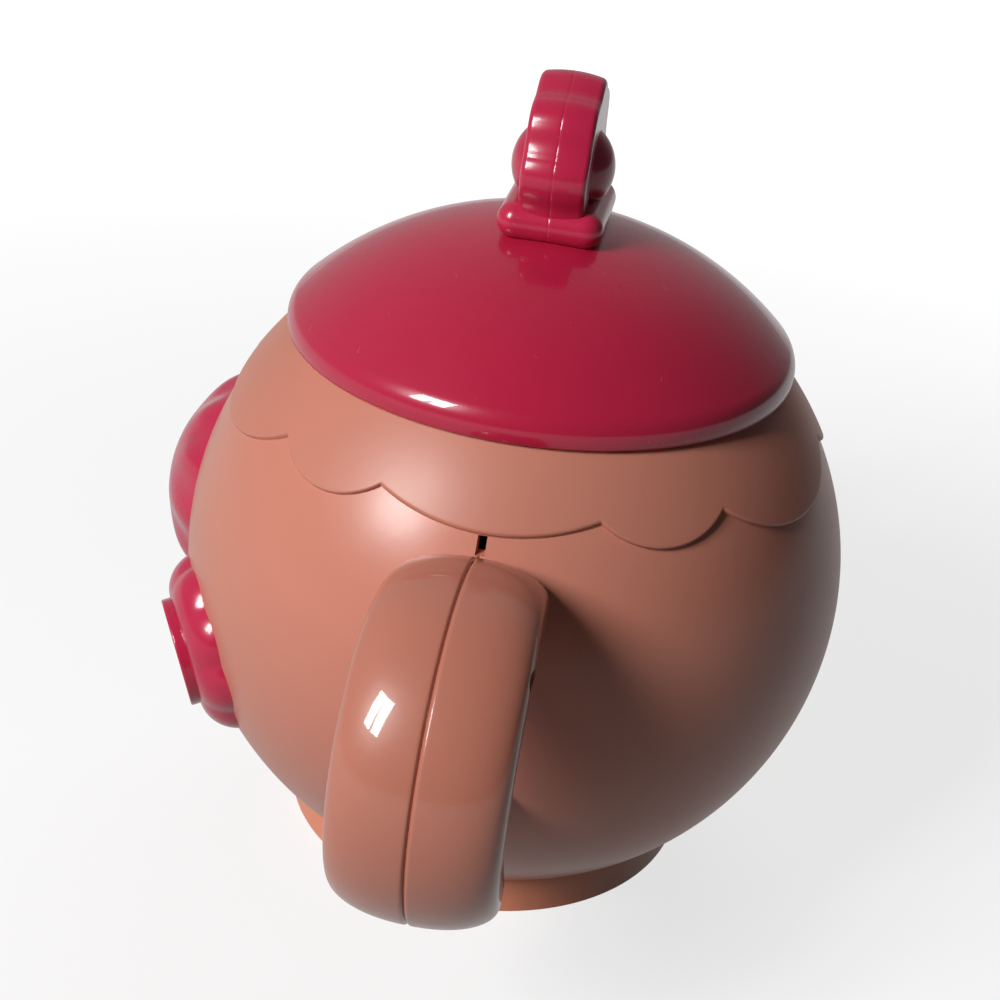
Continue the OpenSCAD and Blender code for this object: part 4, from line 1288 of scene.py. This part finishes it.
    def build(self, bench: Bench) -> None:
        """Makes the collar and dresses it."""
        mesh = self.surface().mesh("scalloped_collar", self.sharp_deg)
        bench.add(mesh, Body.POT, Slot.TAN, [bench.finishes.collar], ["drip_collar"])


@dataclass
class Bowl:
    """Liner that closes the body under the lid."""

    mouth_r: float = 44.605
    flange_top: float = 48.105
    flange_t: float = 1.6
    upright: float = 8.0
    depth: float = 46.0
    wall: float = 1.6
    run: float = 0.35
    lip_round: float = 0.4
    edge_round: float = 0.2
    root_round: float = 0.3
    longest_run: float = 2.0
    rows: int = 40
    steps: int = 160
    sharp_deg: float = 40.0

    def build(self, bench: Bench) -> None:
        """Turns the bowl's outline, a quarter of an ellipse under an upright wall and a flange, and dresses it.

        Args:
            bench: where the piece goes.
        """
        flange_r = math.sqrt(BALL.radius**2 - self.flange_top**2) - self.run
        low = self.flange_top - self.upright

        def edge(t: float) -> Array:
            """Quarter ellipse of the bowl.

            Args:
                t: the wall that it is drawn out by.

            Returns:
                Its points as [radius, height], from the rim to the axis.
            """
            a = np.radians(np.linspace(0, 90, self.rows))
            wide, deep = self.mouth_r + t, self.depth - self.upright + t
            return np.stack([wide * np.cos(a), low - deep * np.sin(a)], axis=-1)

        corners = polyline(edge(0.0)[::-1]) + [
            (self.mouth_r, self.flange_top, self.lip_round),
            (flange_r, self.flange_top, self.edge_round),
            (flange_r, self.flange_top - self.flange_t, self.edge_round),
            (self.mouth_r + self.wall, self.flange_top - self.flange_t, self.root_round),
        ]
        outline = rounded(corners + polyline(edge(self.wall)), self.longest_run)
        mesh = Surface.lathe(outline, self.steps).moved(BALL.up).mesh("bowl_liner", self.sharp_deg)
        bench.add(mesh, Body.POT, Slot.TAN, [bench.finishes.collar], ["inner_bowl"])


@dataclass
class Lid:
    """Glossy dome with a rolled rim, and the plug under it."""

    dome_r: float = 72.0
    dome_rise: float = 76.408
    lid_r: float = 51.505
    rim_r: float = 5.6
    wall: float = 2.2
    bottom: float = 50.555
    plug_r: float = 44.255
    plug_h: float = 8.0
    plug_t: float = 2.0
    snug: float = 0.1
    rim_round: float = 0.35
    edge_round: float = 0.2
    plug_round: float = 0.5
    tip_round: float = 0.6
    root_round: float = 0.3
    rim_rows: int = 40
    dome_rows: int = 70
    longest_run: float = 4.0
    plug_run: float = 3.0
    steps: int = 220
    plug_steps: int = 180
    sharp_deg: float = 40.0

    def centre(self) -> float:
        """Height of the dome's centre above the ball's."""
        return self.dome_rise - self.dome_r

    def rim(self) -> Pair:
        """Radius and height of the rolled rim's centre, which lies inside the dome's sphere."""
        r = self.lid_r - self.rim_r
        return r, self.centre() + math.sqrt((self.dome_r - self.rim_r) ** 2 - r**2)

    def height(self, x: Array, y: Array) -> Array:
        """Height of the dome's surface above the ball's centre."""
        return self.centre() + np.sqrt(self.dome_r**2 - x**2 - y**2)

    def edge(self, depth: float) -> Array:
        """Half section of the dome: the rim's arc, then the dome's arc up to the axis.

        Args:
            depth: how far it is drawn in.

        Returns:
            Its points as [radius, height].
        """
        r, z = self.rim()
        low = -math.degrees(math.asin((z - self.bottom) / (self.rim_r - depth)))
        meet = math.degrees(math.atan2(z - self.centre(), r))
        roll = arc(r, z, self.rim_r - depth, low, meet, self.rim_rows)
        dome = arc(0, self.centre(), self.dome_r - depth, meet, 90, self.dome_rows)
        return np.concatenate([roll, dome[1:]])

    def build(self, bench: Bench) -> None:
        """Turns the dome's and the plug's outlines and dresses them.

        Args:
            bench: where the pieces go.
        """
        outer, inner = self.edge(0.0), self.edge(self.wall)
        corners = polyline(outer)[1:] + polyline(inner[::-1])[:-1]
        first, last = outer[0], inner[0]
        corners = [(*first, self.rim_round)] + corners + [(*last, self.edge_round)]
        dome = Surface.lathe(rounded(corners, self.longest_run), self.steps).moved(BALL.up)
        mesh = dome.mesh("domed_lid", self.sharp_deg)
        bench.add(mesh, Body.LID, Slot.RED, [bench.finishes.lid], ["lid_dome"])
        r, z = self.rim()
        in_r = r + math.sqrt((self.rim_r - self.wall) ** 2 - (z - self.bottom) ** 2) - self.snug
        plug = self.plug_r - self.plug_t
        corners = [
            (0.0, self.bottom, 0.0),
            (plug, self.bottom, self.plug_round),
            (plug, self.bottom - self.plug_h, self.plug_round),
            (self.plug_r, self.bottom - self.plug_h, self.tip_round),
            (self.plug_r, self.bottom, self.root_round),
            (in_r, self.bottom, self.edge_round),
            (in_r, self.bottom + self.plug_t, self.edge_round),
            (0.0, self.bottom + self.plug_t, 0.0),
        ]
        liner = Surface.lathe(rounded(corners, self.plug_run), self.plug_steps).moved(BALL.up)
        mesh = liner.mesh("lid_plug", self.sharp_deg)
        bench.add(mesh, Body.LID, Slot.RED, [bench.finishes.red], ["lid_liner"])


@dataclass
class Knob:
    """Flower-shaped knob in two halves, with a round boss on each face and a rolled foot."""

    lid: Lid
    rise: float = 87.908
    half_t: float = 6.3
    petals: int = 8
    petal_r: float = 6.0
    ring_r: float = 11.0
    boss_r: float = 7.5
    boss_h: float = 3.8
    boss_drop: float = 1.0
    edge_round: float = 1.0
    line_depth: float = 0.05
    crown: float = 0.8
    softness: float = 0.55
    foot_l: float = 29.4
    foot_w: float = 20.6
    foot_t: float = 7.2
    foot_rise: float = 78.208
    seat_gap: float = 0.1
    line_inner: float = 1.0
    line_slope: float = 0.4
    line_y: Pair = (0.1, 0.22)
    rim_y: Pair = (0.7, 1.2)
    rim_end: float = 0.2
    boss_fade: float = 0.6
    foot_y: float = 0.6
    face_rows: tuple[float, ...] = (0.04, 0.2, 0.45, 0.7, 0.9, 1.0)
    edge_rows: int = 9
    rim_rows: int = 6
    boss_rows: int = 22
    foot_bend: int = 25
    foot_run: int = 16
    foot_fall: int = 14
    foot_rows: int = 7
    steps: int = 288
    sharp_deg: float = 42.0

    def outline(self, a: Array) -> Array:
        """Distance from the boss's centre to the flower's edge: the farthest that a ray meets a petal.

        Args:
            a: the rays' angles in radians.

        Returns:
            The distances, rounded where two petals meet.
        """
        turn = np.radians(90 + np.arange(self.petals) * 360 / self.petals)
        centres = np.stack([self.ring_r * np.cos(turn), self.ring_r * np.sin(turn)], axis=-1)
        rays = np.stack([np.cos(a), np.sin(a)], axis=-1)
        hits = sphere_hits(np.array([0.0, -self.boss_drop]), rays, centres, self.petal_r)
        return smooth_max(hits, self.softness)

    def seated(self, points: Array) -> Array:
        """Lifts points to the dome where they would sink into it.

        Args:
            points: points from the ball's centre.

        Returns:
            The points, none of them under the dome.
        """
        floor = self.lid.height(points[..., 0], points[..., 1]) + self.seat_gap
        high = np.maximum(points[..., 2], floor)
        return np.stack([points[..., 0], points[..., 1], high], axis=-1)

    def flower(self) -> Surface:
        """Front half of the flower.

        Round the boss's axis, each row is the outline drawn in by a length at a depth from the parting plane:
        the parting line's notch, the crowned rim, a rounded edge, the flat face and the boss, part of a ball.

        Returns:
            The closed half.
        """
        a = np.linspace(0, 2 * np.pi, self.steps, endpoint=False)
        edge = self.outline(a)
        e, turn = self.edge_round, np.radians(np.linspace(0, 90, self.edge_rows))
        line, low, high = self.line_depth, *self.line_y
        start, run_on = self.rim_y
        ease = self.line_slope * line
        sides = np.array([[self.line_inner, 0.0], [line, 0.0], [ease, low], [0.0, high], [0.0, start]])
        flank = np.linspace(run_on, self.half_t - e - self.rim_end, self.rim_rows)
        straight = np.stack([0 * flank, flank], axis=-1)
        bend = np.stack([e - e * np.cos(turn), self.half_t - e + e * np.sin(turn)], axis=-1)
        rim = np.concatenate([sides, straight, bend])
        rim[:, 0] += self.crown * (rim[:, 1] / self.half_t) ** 2
        rows_r, rows_y = edge - rim[:, :1], rim[:, 1:] + 0 * edge
        base = self.boss_r + self.boss_fade
        run = np.array(self.face_rows)[:, None]
        face_r = (edge - e - self.crown) * (1 - run) + base * run
        ball_r = (self.boss_r**2 + self.boss_h**2) / (2 * self.boss_h)
        boss = base * np.sin(np.linspace(np.pi / 2, 0, self.boss_rows))[1:, None] + 0 * edge
        near = np.minimum(boss, self.boss_r)
        lift = np.sqrt(ball_r**2 - near**2) - (ball_r - self.boss_h)
        lift = np.where(boss < self.boss_r, lift, 0.0)
        r = np.concatenate([0 * edge[None], rows_r, face_r, boss])
        y = np.concatenate([0 * edge[None], rows_y, self.half_t + 0 * face_r, self.half_t + lift])
        points = np.stack([r * np.cos(a), -y, self.rise - self.boss_drop + r * np.sin(a)], axis=-1)
        return Surface.grid(self.seated(points))

    def foot(self) -> Surface:
        """Front half of the foot: a flattened ring of points at each distance from the parting plane.

        The ring is two half circles joined by straight runs. Its radius is constant, and past the last corner's
        centre it falls as in a ball.

        Returns:
            The closed half.
        """
        r = self.foot_t / 2
        half_l, half_w = self.foot_l / 2 - r, self.foot_w / 2 - r
        bend = np.linspace(-np.pi / 2, np.pi / 2, self.foot_bend)
        run = np.linspace(half_l, -half_l, self.foot_run)[1:-1]
        shift = np.concatenate([0 * bend + half_l, run, 0 * bend - half_l, -run])
        ring = np.concatenate([bend, 0 * run + np.pi / 2, np.pi - bend[::-1], 0 * run - np.pi / 2])
        ring[len(bend) + len(run) : 2 * len(bend) + len(run)] = np.linspace(np.pi / 2, 1.5 * np.pi, len(bend))
        fall = np.radians(np.linspace(0, 90, self.foot_fall))
        flank = np.linspace(self.foot_y, half_w, self.foot_rows)
        y = np.concatenate([[0.0, *self.line_y], flank, half_w + r * np.sin(fall[1:])])
        lead = [r - self.line_depth, r - self.line_slope * self.line_depth]
        size = np.concatenate([lead, np.full(self.foot_rows + 1, r), r * np.cos(fall[1:])])
        x = shift + size[:, None] * np.cos(ring)
        z = self.foot_rise + size[:, None] * np.sin(ring)
        middle = np.stack([0 * shift, 0 * shift, 0 * shift + self.foot_rise], axis=-1)[None]
        points = np.concatenate([middle, np.stack([x, -y[:, None] + 0 * x, z], axis=-1)])
        return Surface.grid(self.seated(points))

    def build(self, bench: Bench) -> None:
        """Makes both halves and dresses them.

        Args:
            bench: where the pieces go.
        """
        half = Surface.joined([self.flower(), self.foot()]).moved(BALL.up)
        for side, node in ((Side.FRONT, "knob_front_half"), (Side.BACK, "knob_back_half")):
            part = half if side is Side.FRONT else half.mirrored()
            mesh = part.mesh(f"knob_{side.name.lower()}", self.sharp_deg)
            bench.add(mesh, Body.LID, Slot.RED, [bench.finishes.red], [node])


@dataclass
class LargeFlower:
    """Domed flower ornament: a shallow cap whose edge swells into a ring of soft round petals."""

    az: float = -98.0
    lat: float = 2.4
    cap_d: float = 50.0
    height: float = 10.0
    petals: int = 12
    swell: float = 0.5
    swell_at: float = 27.0
    swell_w: float = 15.0
    eye: float = -12.0
    petal_steps: int = 25
    low_lift: float = 6.0
    rows: int = 120
    sharp_deg: float = 50.0

    def surface(self) -> Surface:
        """The ornament's skin, seen from a point inside the ball.

        Along each ray from that point the skin lies where the ray leaves the cap's ball, plus a swelling that
        goes round as a cosine, once for each petal, and over the ray's lift as a bell curve.

        Returns:
            The closed skin.
        """
        edge_z = float(BALL.dip(np.array(self.cap_d / 2)))
        cap_h = self.height - edge_z
        cap_r = ((self.cap_d / 2) ** 2 + cap_h**2) / (2 * cap_h)
        a = np.linspace(0, 2 * np.pi, self.petal_steps * self.petals, endpoint=False)
        lift = np.linspace(90, self.low_lift, self.rows)[:, None]
        rise = np.radians(lift)
        rays = np.stack([np.cos(rise) * np.cos(a), np.cos(rise) * np.sin(a), np.sin(rise) + 0 * a], axis=-1)
        eye = np.array([0.0, 0.0, self.eye])
        reach = sphere_hits(eye, rays, np.array([[0.0, 0.0, self.height - cap_r]]), cap_r)[0]
        bell = np.exp(-(((lift - self.swell_at) / self.swell_w) ** 2))
        reach = reach + self.swell * bell * np.cos(self.petals * a)
        points = eye + reach[..., None] * rays
        closed = np.concatenate([points, np.broadcast_to(eye, points[:1].shape)])
        return Surface.grid(closed).moved(BALL.on(self.az, self.lat))

    def build(self, bench: Bench) -> None:
        """Makes the ornament and dresses it."""
        mesh = self.surface().mesh("domed_flower", self.sharp_deg)
        bench.add(mesh, Body.POT, Slot.RED, [bench.finishes.red], ["large_flower"])


@dataclass
class ButtonFlower:
    """Flower of puffed petals round a well, and the rimmed disc that is pressed into it."""

    az: float = -61.294
    lat: float = -13.786
    petals: int = 9
    petal_r: float = 6.7
    ring_r: float = 13.1
    petal_z: float = -3.2
    turn: float = 8.0
    well_r: float = 11.65
    well_floor: float = 0.55
    bore_r: float = 8.35
    disc_r: float = 11.45
    disc_low: float = 2.9
    disc_floor: float = 4.8
    rim_top: float = 5.4
    rim_w: float = 1.2
    stem_r: float = 8.0
    stem_end: float = -9.0
    notch: float = 0.07
    puff: float = 0.3
    puff_top: float = 0.95
    flat: float = 0.3
    section_end: float = -0.42
    deep: float = -6.0
    lip_w: float = 0.3
    lip_ease: Pair = (0.06, 0.1)
    inner_fill: float = 0.1
    fill_power: float = 1.5
    tail_in: float = 0.6
    petal_steps: int = 45
    rows: int = 46
    bezel_sharp: float = 48.0
    dish: float = 0.25
    dish_gap: float = 0.6
    rim_slope: float = 0.15
    rim_rounds: Pair = (0.3, 0.42)
    stem_rounds: tuple[float, float, float] = (0.35, 0.4, 0.5)
    dish_rows: int = 24
    disc_run: float = 1.2
    disc_steps: int = 144
    disc_sharp: float = 44.0

    def bezel(self) -> Surface:
        """The petals' skin.

        Cut by a plane through the axis, a petal's ball is a circle: its middle lies ring radius times cos(d) out,
        its radius is sqrt(petal radius^2 - (ring radius sin(d))^2), with d the angle from the petal's middle,
        rounded near the notch between petals. The circle's shortfall beside the notch is mostly filled at the
        well's lip and less so towards the body, and the arc is drawn a share of the way to its chord. The
        section runs from the well's floor up over that arc and down into the body.

        Returns:
            The closed skin.
        """
        pitch = 2 * np.pi / self.petals
        a = np.linspace(0, 2 * np.pi, self.petal_steps * self.petals, endpoint=False)
        d = (a - math.radians(self.turn) + pitch / 2) % pitch - pitch / 2
        d = 0.5 * pitch - np.sqrt((0.5 * pitch - np.abs(d)) ** 2 + self.notch**2)
        mid = self.ring_r * np.cos(d)
        size = np.sqrt(self.petal_r**2 - (self.ring_r * np.sin(d)) ** 2)
        short = (self.petal_r - size)[:, None]
        inner_size = self.petal_r - self.inner_fill * short[:, 0]
        inner = np.arccos(np.clip((self.well_r + self.lip_w - mid) / inner_size, -1, 1))
        sweep = np.linspace(0, 1, self.rows)
        angle = inner[:, None] + (self.section_end - inner[:, None]) * sweep
        unfilled = 1 - self.puff_top + (self.puff_top - self.puff) * sweep**self.fill_power
        size = self.petal_r - short * unfilled
        r = mid[:, None] + size * np.cos(angle)
        z = self.petal_z + size * np.sin(angle)
        r += self.flat * (r[:, :1] + (r[:, -1:] - r[:, :1]) * sweep - r)
        z += self.flat * (z[:, :1] + (z[:, -1:] - z[:, :1]) * sweep - z)
        lip_z = z[:, :1]
        w, (out, down) = self.lip_w, self.lip_ease
        lead_r = np.array([self.bore_r, self.well_r - w, self.well_r, self.well_r, self.well_r + out])
        lead_r = np.broadcast_to(lead_r, (len(a), 5))
        floor = np.broadcast_to(np.array([self.well_floor] * 2), (len(a), 2))
        lead_z = np.concatenate([floor, floor[:, :1] + w, lip_z - w, lip_z - down], axis=1)
        deep = np.broadcast_to(np.array([self.deep] * 2), (len(a), 2))
        tail_r = np.concatenate([r[:, -1:] - self.tail_in, np.full((len(a), 1), self.bore_r)], axis=1)
        r = np.concatenate([lead_r, r, tail_r], axis=1)
        z = np.concatenate([lead_z, z, deep], axis=1)
        a = a[:, None]
        loops = np.stack([r * np.cos(a), r * np.sin(a), z], axis=-1)
        return Surface.grid(loops, wrap_rows=True).moved(BALL.on(self.az, self.lat))

    def disc(self) -> Surface:
        """The button: a disc with a thin raised rim and a faint dish, on its stem.

        Returns:
            The turned skin, in its place on the ball.
        """
        inside = self.disc_r - self.rim_w
        r = np.linspace(0, inside - self.dish_gap, self.dish_rows)
        dish = self.disc_floor - self.dish * (1 - (r / r[-1]) ** 2)
        corners = polyline(np.stack([r, dish], axis=-1)) + [
            (inside, self.disc_floor, self.rim_rounds[0]),
            (inside + self.rim_slope, self.rim_top, self.rim_rounds[0]),
            (self.disc_r, self.rim_top, self.rim_rounds[1]),
            (self.disc_r, self.disc_low, self.stem_rounds[0]),
            (self.stem_r, self.disc_low, self.stem_rounds[1]),
            (self.stem_r, self.stem_end, self.stem_rounds[2]),
            (0.0, self.stem_end, 0.0),
        ]
        outline = rounded(corners, self.disc_run)
        return Surface.lathe(outline, self.disc_steps).moved(BALL.on(self.az, self.lat))

    def build(self, bench: Bench) -> None:
        """Makes the petals and the button and dresses them.

        Args:
            bench: where the pieces go.
        """
        mesh = self.bezel().mesh("petal_bezel", self.bezel_sharp)
        bench.add(mesh, Body.POT, Slot.RED, [bench.finishes.red], ["flower_bezel"])
        mesh = self.disc().mesh("press_button", self.disc_sharp)
        bench.add(mesh, Body.BUTTON, Slot.RED, [bench.finishes.red], ["flower_button"])


@dataclass
class Base:
    """Foot ring with its floor, the battery door, the switch's slider and the screws that show."""

    edge_w: float = 0.5
    edge_deg: float = 50.0
    edge_steps: int = 3

    def build(self, bench: Bench) -> None:
        """Stands smooth copies of the base's solids in their places, with eased edges on the foot.

        Args:
            bench: where the pieces go.
        """
        tray = bench.smooth_copy("base_tray", "foot_ring", Body.POT, Slot.FOOT)
        for piece in (tray, bench.smooth_copy("battery_door", "cell_door", Body.POT, Slot.FOOT)):
            ease = piece.modifiers.new("eased_edges", "BEVEL")
            ease.width, ease.segments = self.edge_w * MM, self.edge_steps
            ease.limit_method, ease.angle_limit = "ANGLE", math.radians(self.edge_deg)
        bench.smooth_copy("power_slider", "slider_knob", Body.SLIDER, Slot.WHITE)
        for node in ("base_screws", "door_screw", "case_screws"):
            bench.smooth_copy(node, f"{node}_turned", Body.POT, Slot.STEEL)
        bench.smooth_copy("knob_screws", "knob_screws_turned", Body.LID, Slot.STEEL)


@dataclass
class SoundUnit:
    """Works inside the pot: boards, cells, speaker, spring and leads, which stay as the CAD has them."""

    slots: dict[Slot, tuple[str, ...]] = field(
        default_factory=lambda: {
            Slot.WHITE: ("button_clip",),
            Slot.BOARD: ("switch_board", "sound_board"),
            Slot.STEEL: (
                "button_spring",
                "switch_screws",
                "board_screws",
                "battery_contacts",
                "speaker_frame",
                "speaker_magnet",
            ),
            Slot.CELL: ("battery_cells",),
            Slot.DARK: ("board_parts", "power_switch", "wires"),
            Slot.CONE: ("speaker_cone",),
        }
    )

    def build(self, bench: Bench) -> None:
        """Dresses every node of the works.

        Args:
            bench: what holds the finishes.
        """
        for slot, nodes in self.slots.items():
            for node in nodes:
                bench.dress_node(node, slot)


# Stage


def standing(right: Array, up: Array, back: Array, place: Array) -> Matrix:
    """Matrix of an object that stands at a place.

    Args:
        right: its x axis.
        up: its y axis.
        back: its z axis.
        place: its origin, in metres.

    Returns:
        The matrix.
    """
    made = np.eye(4)
    made[:3] = np.stack([right, up, back, place], axis=-1)
    return Matrix(made.tolist())


@dataclass
class Studio:
    """Pale floor, soft light from the left and the photograph's camera."""

    image: float = 1000.0
    focal_px: float = 1600.0
    sensor_mm: float = 36.0
    distance: float = 350.6
    azimuth: float = 95.51
    elevation: float = 29.63967
    roll: float = 7.2851
    centre_px: Pair = (513.984, 551.620)
    clip: Pair = (0.01, 20.0)
    ambient: float = 0.03
    pale_way: float = -0.7
    dusk: Pair = (-0.3, 0.75)
    far_side: float = 0.1
    near_side: float = 0.35
    floor_shine: float = 0.55
    floor_half: float = 3.0
    floor_lines: int = 13
    floor_tone: float = 0.24
    floor_rough: float = 0.9
    glow_near: float = 0.74
    glow_reach: Pair = (0.12, 0.8)
    window_az: float = -40.0
    window_lift: float = 34.0
    window_away: float = 1.0
    pane: Pair = (0.12, 0.36)
    pane_apart: float = 0.138
    pane_watts: float = 4.9
    fill_az: float = 176.0
    fill_lift: float = 36.0
    fill_size: float = 0.7
    fill_watts: float = 3.4

    def back(self) -> Array:
        """Unit vector from the ball towards the camera."""
        return self.out(self.azimuth - 90, self.elevation)

    def camera_axes(self) -> Array:
        """The camera's axes in the row frame.

        The camera looks back at the ball from an azimuth and an elevation and is rolled; it is then turned by the
        smallest rotation that brings the ball's centre to its pixel.

        Returns:
            The right, up and forward axes, as rows.
        """
        r, back = math.radians(self.roll), self.back()
        right = np.cross(-back, [0, 0, 1])
        right /= np.linalg.norm(right)
        up = np.cross(right, -back)
        rolled = np.array(
            [math.cos(r) * right + math.sin(r) * up, -math.sin(r) * right + math.cos(r) * up, -back]
        )
        half = self.image / 2
        v = np.array([(self.centre_px[0] - half) / self.focal_px, (half - self.centre_px[1]) / self.focal_px, 1.0])
        v /= np.linalg.norm(v)
        k = np.cross(v, [0, 0, 1])
        skew = np.array([[0, -k[2], k[1]], [k[2], 0, -k[0]], [-k[1], k[0], 0]])
        turn = np.eye(3) + skew + skew @ skew * ((1 - v[2]) / (k @ k))
        return turn.T @ rolled

    def camera(self) -> None:
        """Sets up the camera at the photograph's place."""
        axes = self.camera_axes()
        place = BALL.up(self.back() * self.distance) * MM
        data = bpy.data.cameras.new("photo_camera")
        data.sensor_width = self.sensor_mm
        data.lens = self.focal_px / self.image * self.sensor_mm
        data.clip_start, data.clip_end = self.clip
        made = into_scene("photo_camera", data)
        made.matrix_world = standing(axes[0], axes[1], -axes[2], place)
        bpy.context.scene.camera = made

    def lamp(
        self, name: str, place: Sequence[float], aim: Sequence[float], size: Pair, watts: float
    ) -> bpy.types.Object:
        """Adds one rectangular soft light.

        Args:
            name: its name.
            place: where it stands, in metres.
            aim: the point that it faces.
            size: its width and height in metres.
            watts: its power.

        Returns:
            The light.
        """
        data = bpy.data.lights.new(name, "AREA")
        data.shape, data.size, data.size_y, data.energy = "RECTANGLE", size[0], size[1], watts
        made = into_scene(name, data)
        there = np.array(place, dtype=float)
        back = there - np.array(aim, dtype=float)
        back /= np.linalg.norm(back)
        right = np.cross([0, 0, 1], back)
        right /= np.linalg.norm(right)
        made.matrix_world = standing(right, np.cross(back, right), back, there)
        return made

    def out(self, az: float, lift: float) -> Array:
        """Unit vector towards an azimuth and an elevation in degrees."""
        a, e = math.radians(az), math.radians(lift)
        return np.array([math.cos(e) * math.cos(a), math.cos(e) * math.sin(a), math.sin(e)])

    def world(self) -> None:
        """Pale surroundings: white to the camera, dim as a light, and fading to dusk in reflections."""
        world = bpy.data.worlds.new("pale_room")
        bpy.context.scene.world = world
        world.use_nodes = True
        tree = Tree(world.node_tree)
        seen, shine = tree.rays()
        way = tree.node("ShaderNodeTexCoord", {}, {}).outputs["Generated"]
        split = tree.node("ShaderNodeSeparateXYZ", {}, {0: way})
        pale = (Value(tree, split.outputs[0]) + Value(tree, split.outputs[1])) * self.pale_way
        shine = shine * (tree.ramp(pale, *self.dusk) * (self.near_side - self.far_side) + self.far_side)
        strength = seen.or_more(shine).or_more(self.ambient)
        shader = tree.node("ShaderNodeBackground", {}, {"Color": WHITE, "Strength": strength})
        tree.node("ShaderNodeOutputWorld", {}, {"Surface": shader.outputs[0]})

    def floor(self) -> None:
        """Pale floor that keeps the shadow and is otherwise white to the camera."""
        a = np.linspace(-self.floor_half, self.floor_half, self.floor_lines)
        x, y = np.meshgrid(a, a)
        flat = Surface.grid(np.stack([x, y, 0 * x], axis=-1) / MM, wrap_cols=False)
        points, faces = flat.polygons()
        mesh = bpy.data.meshes.new("pale_floor")
        mesh.from_pydata((points * MM).tolist(), [], faces)
        made = into_scene("pale_floor", mesh)
        material, tree = Tree.material("pale_floor")
        seen, shine = tree.rays()
        away = tree.value("ShaderNodeVectorMath", {"operation": "LENGTH"}, {0: tree.place()}, "Value")
        glow = tree.ramp(away, *self.glow_reach) * (1.0 - self.glow_near) + self.glow_near
        lit = seen.or_more(shine * self.floor_shine) * glow
        tree.principled(
            {
                "Base Color": (self.floor_tone,) * 3,
                "Roughness": self.floor_rough,
                "Specular IOR Level": 0.0,
                "Emission Color": tree.mix(lit, BLACK, WHITE),
                "Emission Strength": 1.0,
            }
        )
        mesh.materials.append(material)

    def build(self) -> None:
        """Sets up the whole stage."""
        bpy.context.scene.view_settings.view_transform = "Standard"
        self.camera()
        self.world()
        self.floor()
        az = math.radians(self.window_az)
        aim = np.array([0.0, 0.0, BALL.rise * MM])
        out = self.out(self.window_az, self.window_lift)
        along = np.array([-math.sin(az), math.cos(az), 0.0]) * self.pane_apart / 2
        for side in Side:
            place = aim + out * self.window_away + along * side.value
            self.lamp(f"window_{side.name.lower()}", place, aim, self.pane, self.pane_watts)
        behind = aim + self.out(self.fill_az, self.fill_lift) * self.window_away
        fill = self.lamp("far_fill", behind, aim, (self.fill_size, self.fill_size), self.fill_watts)
        fill.visible_glossy = False


def main() -> None:
    """Builds every sub-assembly in order, then the stage."""
    logging.basicConfig(level=logging.INFO, format="%(name)s: %(message)s")
    bench = Bench(Finishes())
    lid = Lid()
    for part in (PotShell(), Collar(), Bowl(), lid, Knob(lid), LargeFlower(), ButtonFlower(), Base(), SoundUnit()):
        part.build(bench)
    Studio().build()
    LOG.info("%d pieces made", len(bench.made))


if __name__ == "__main__":
    main()
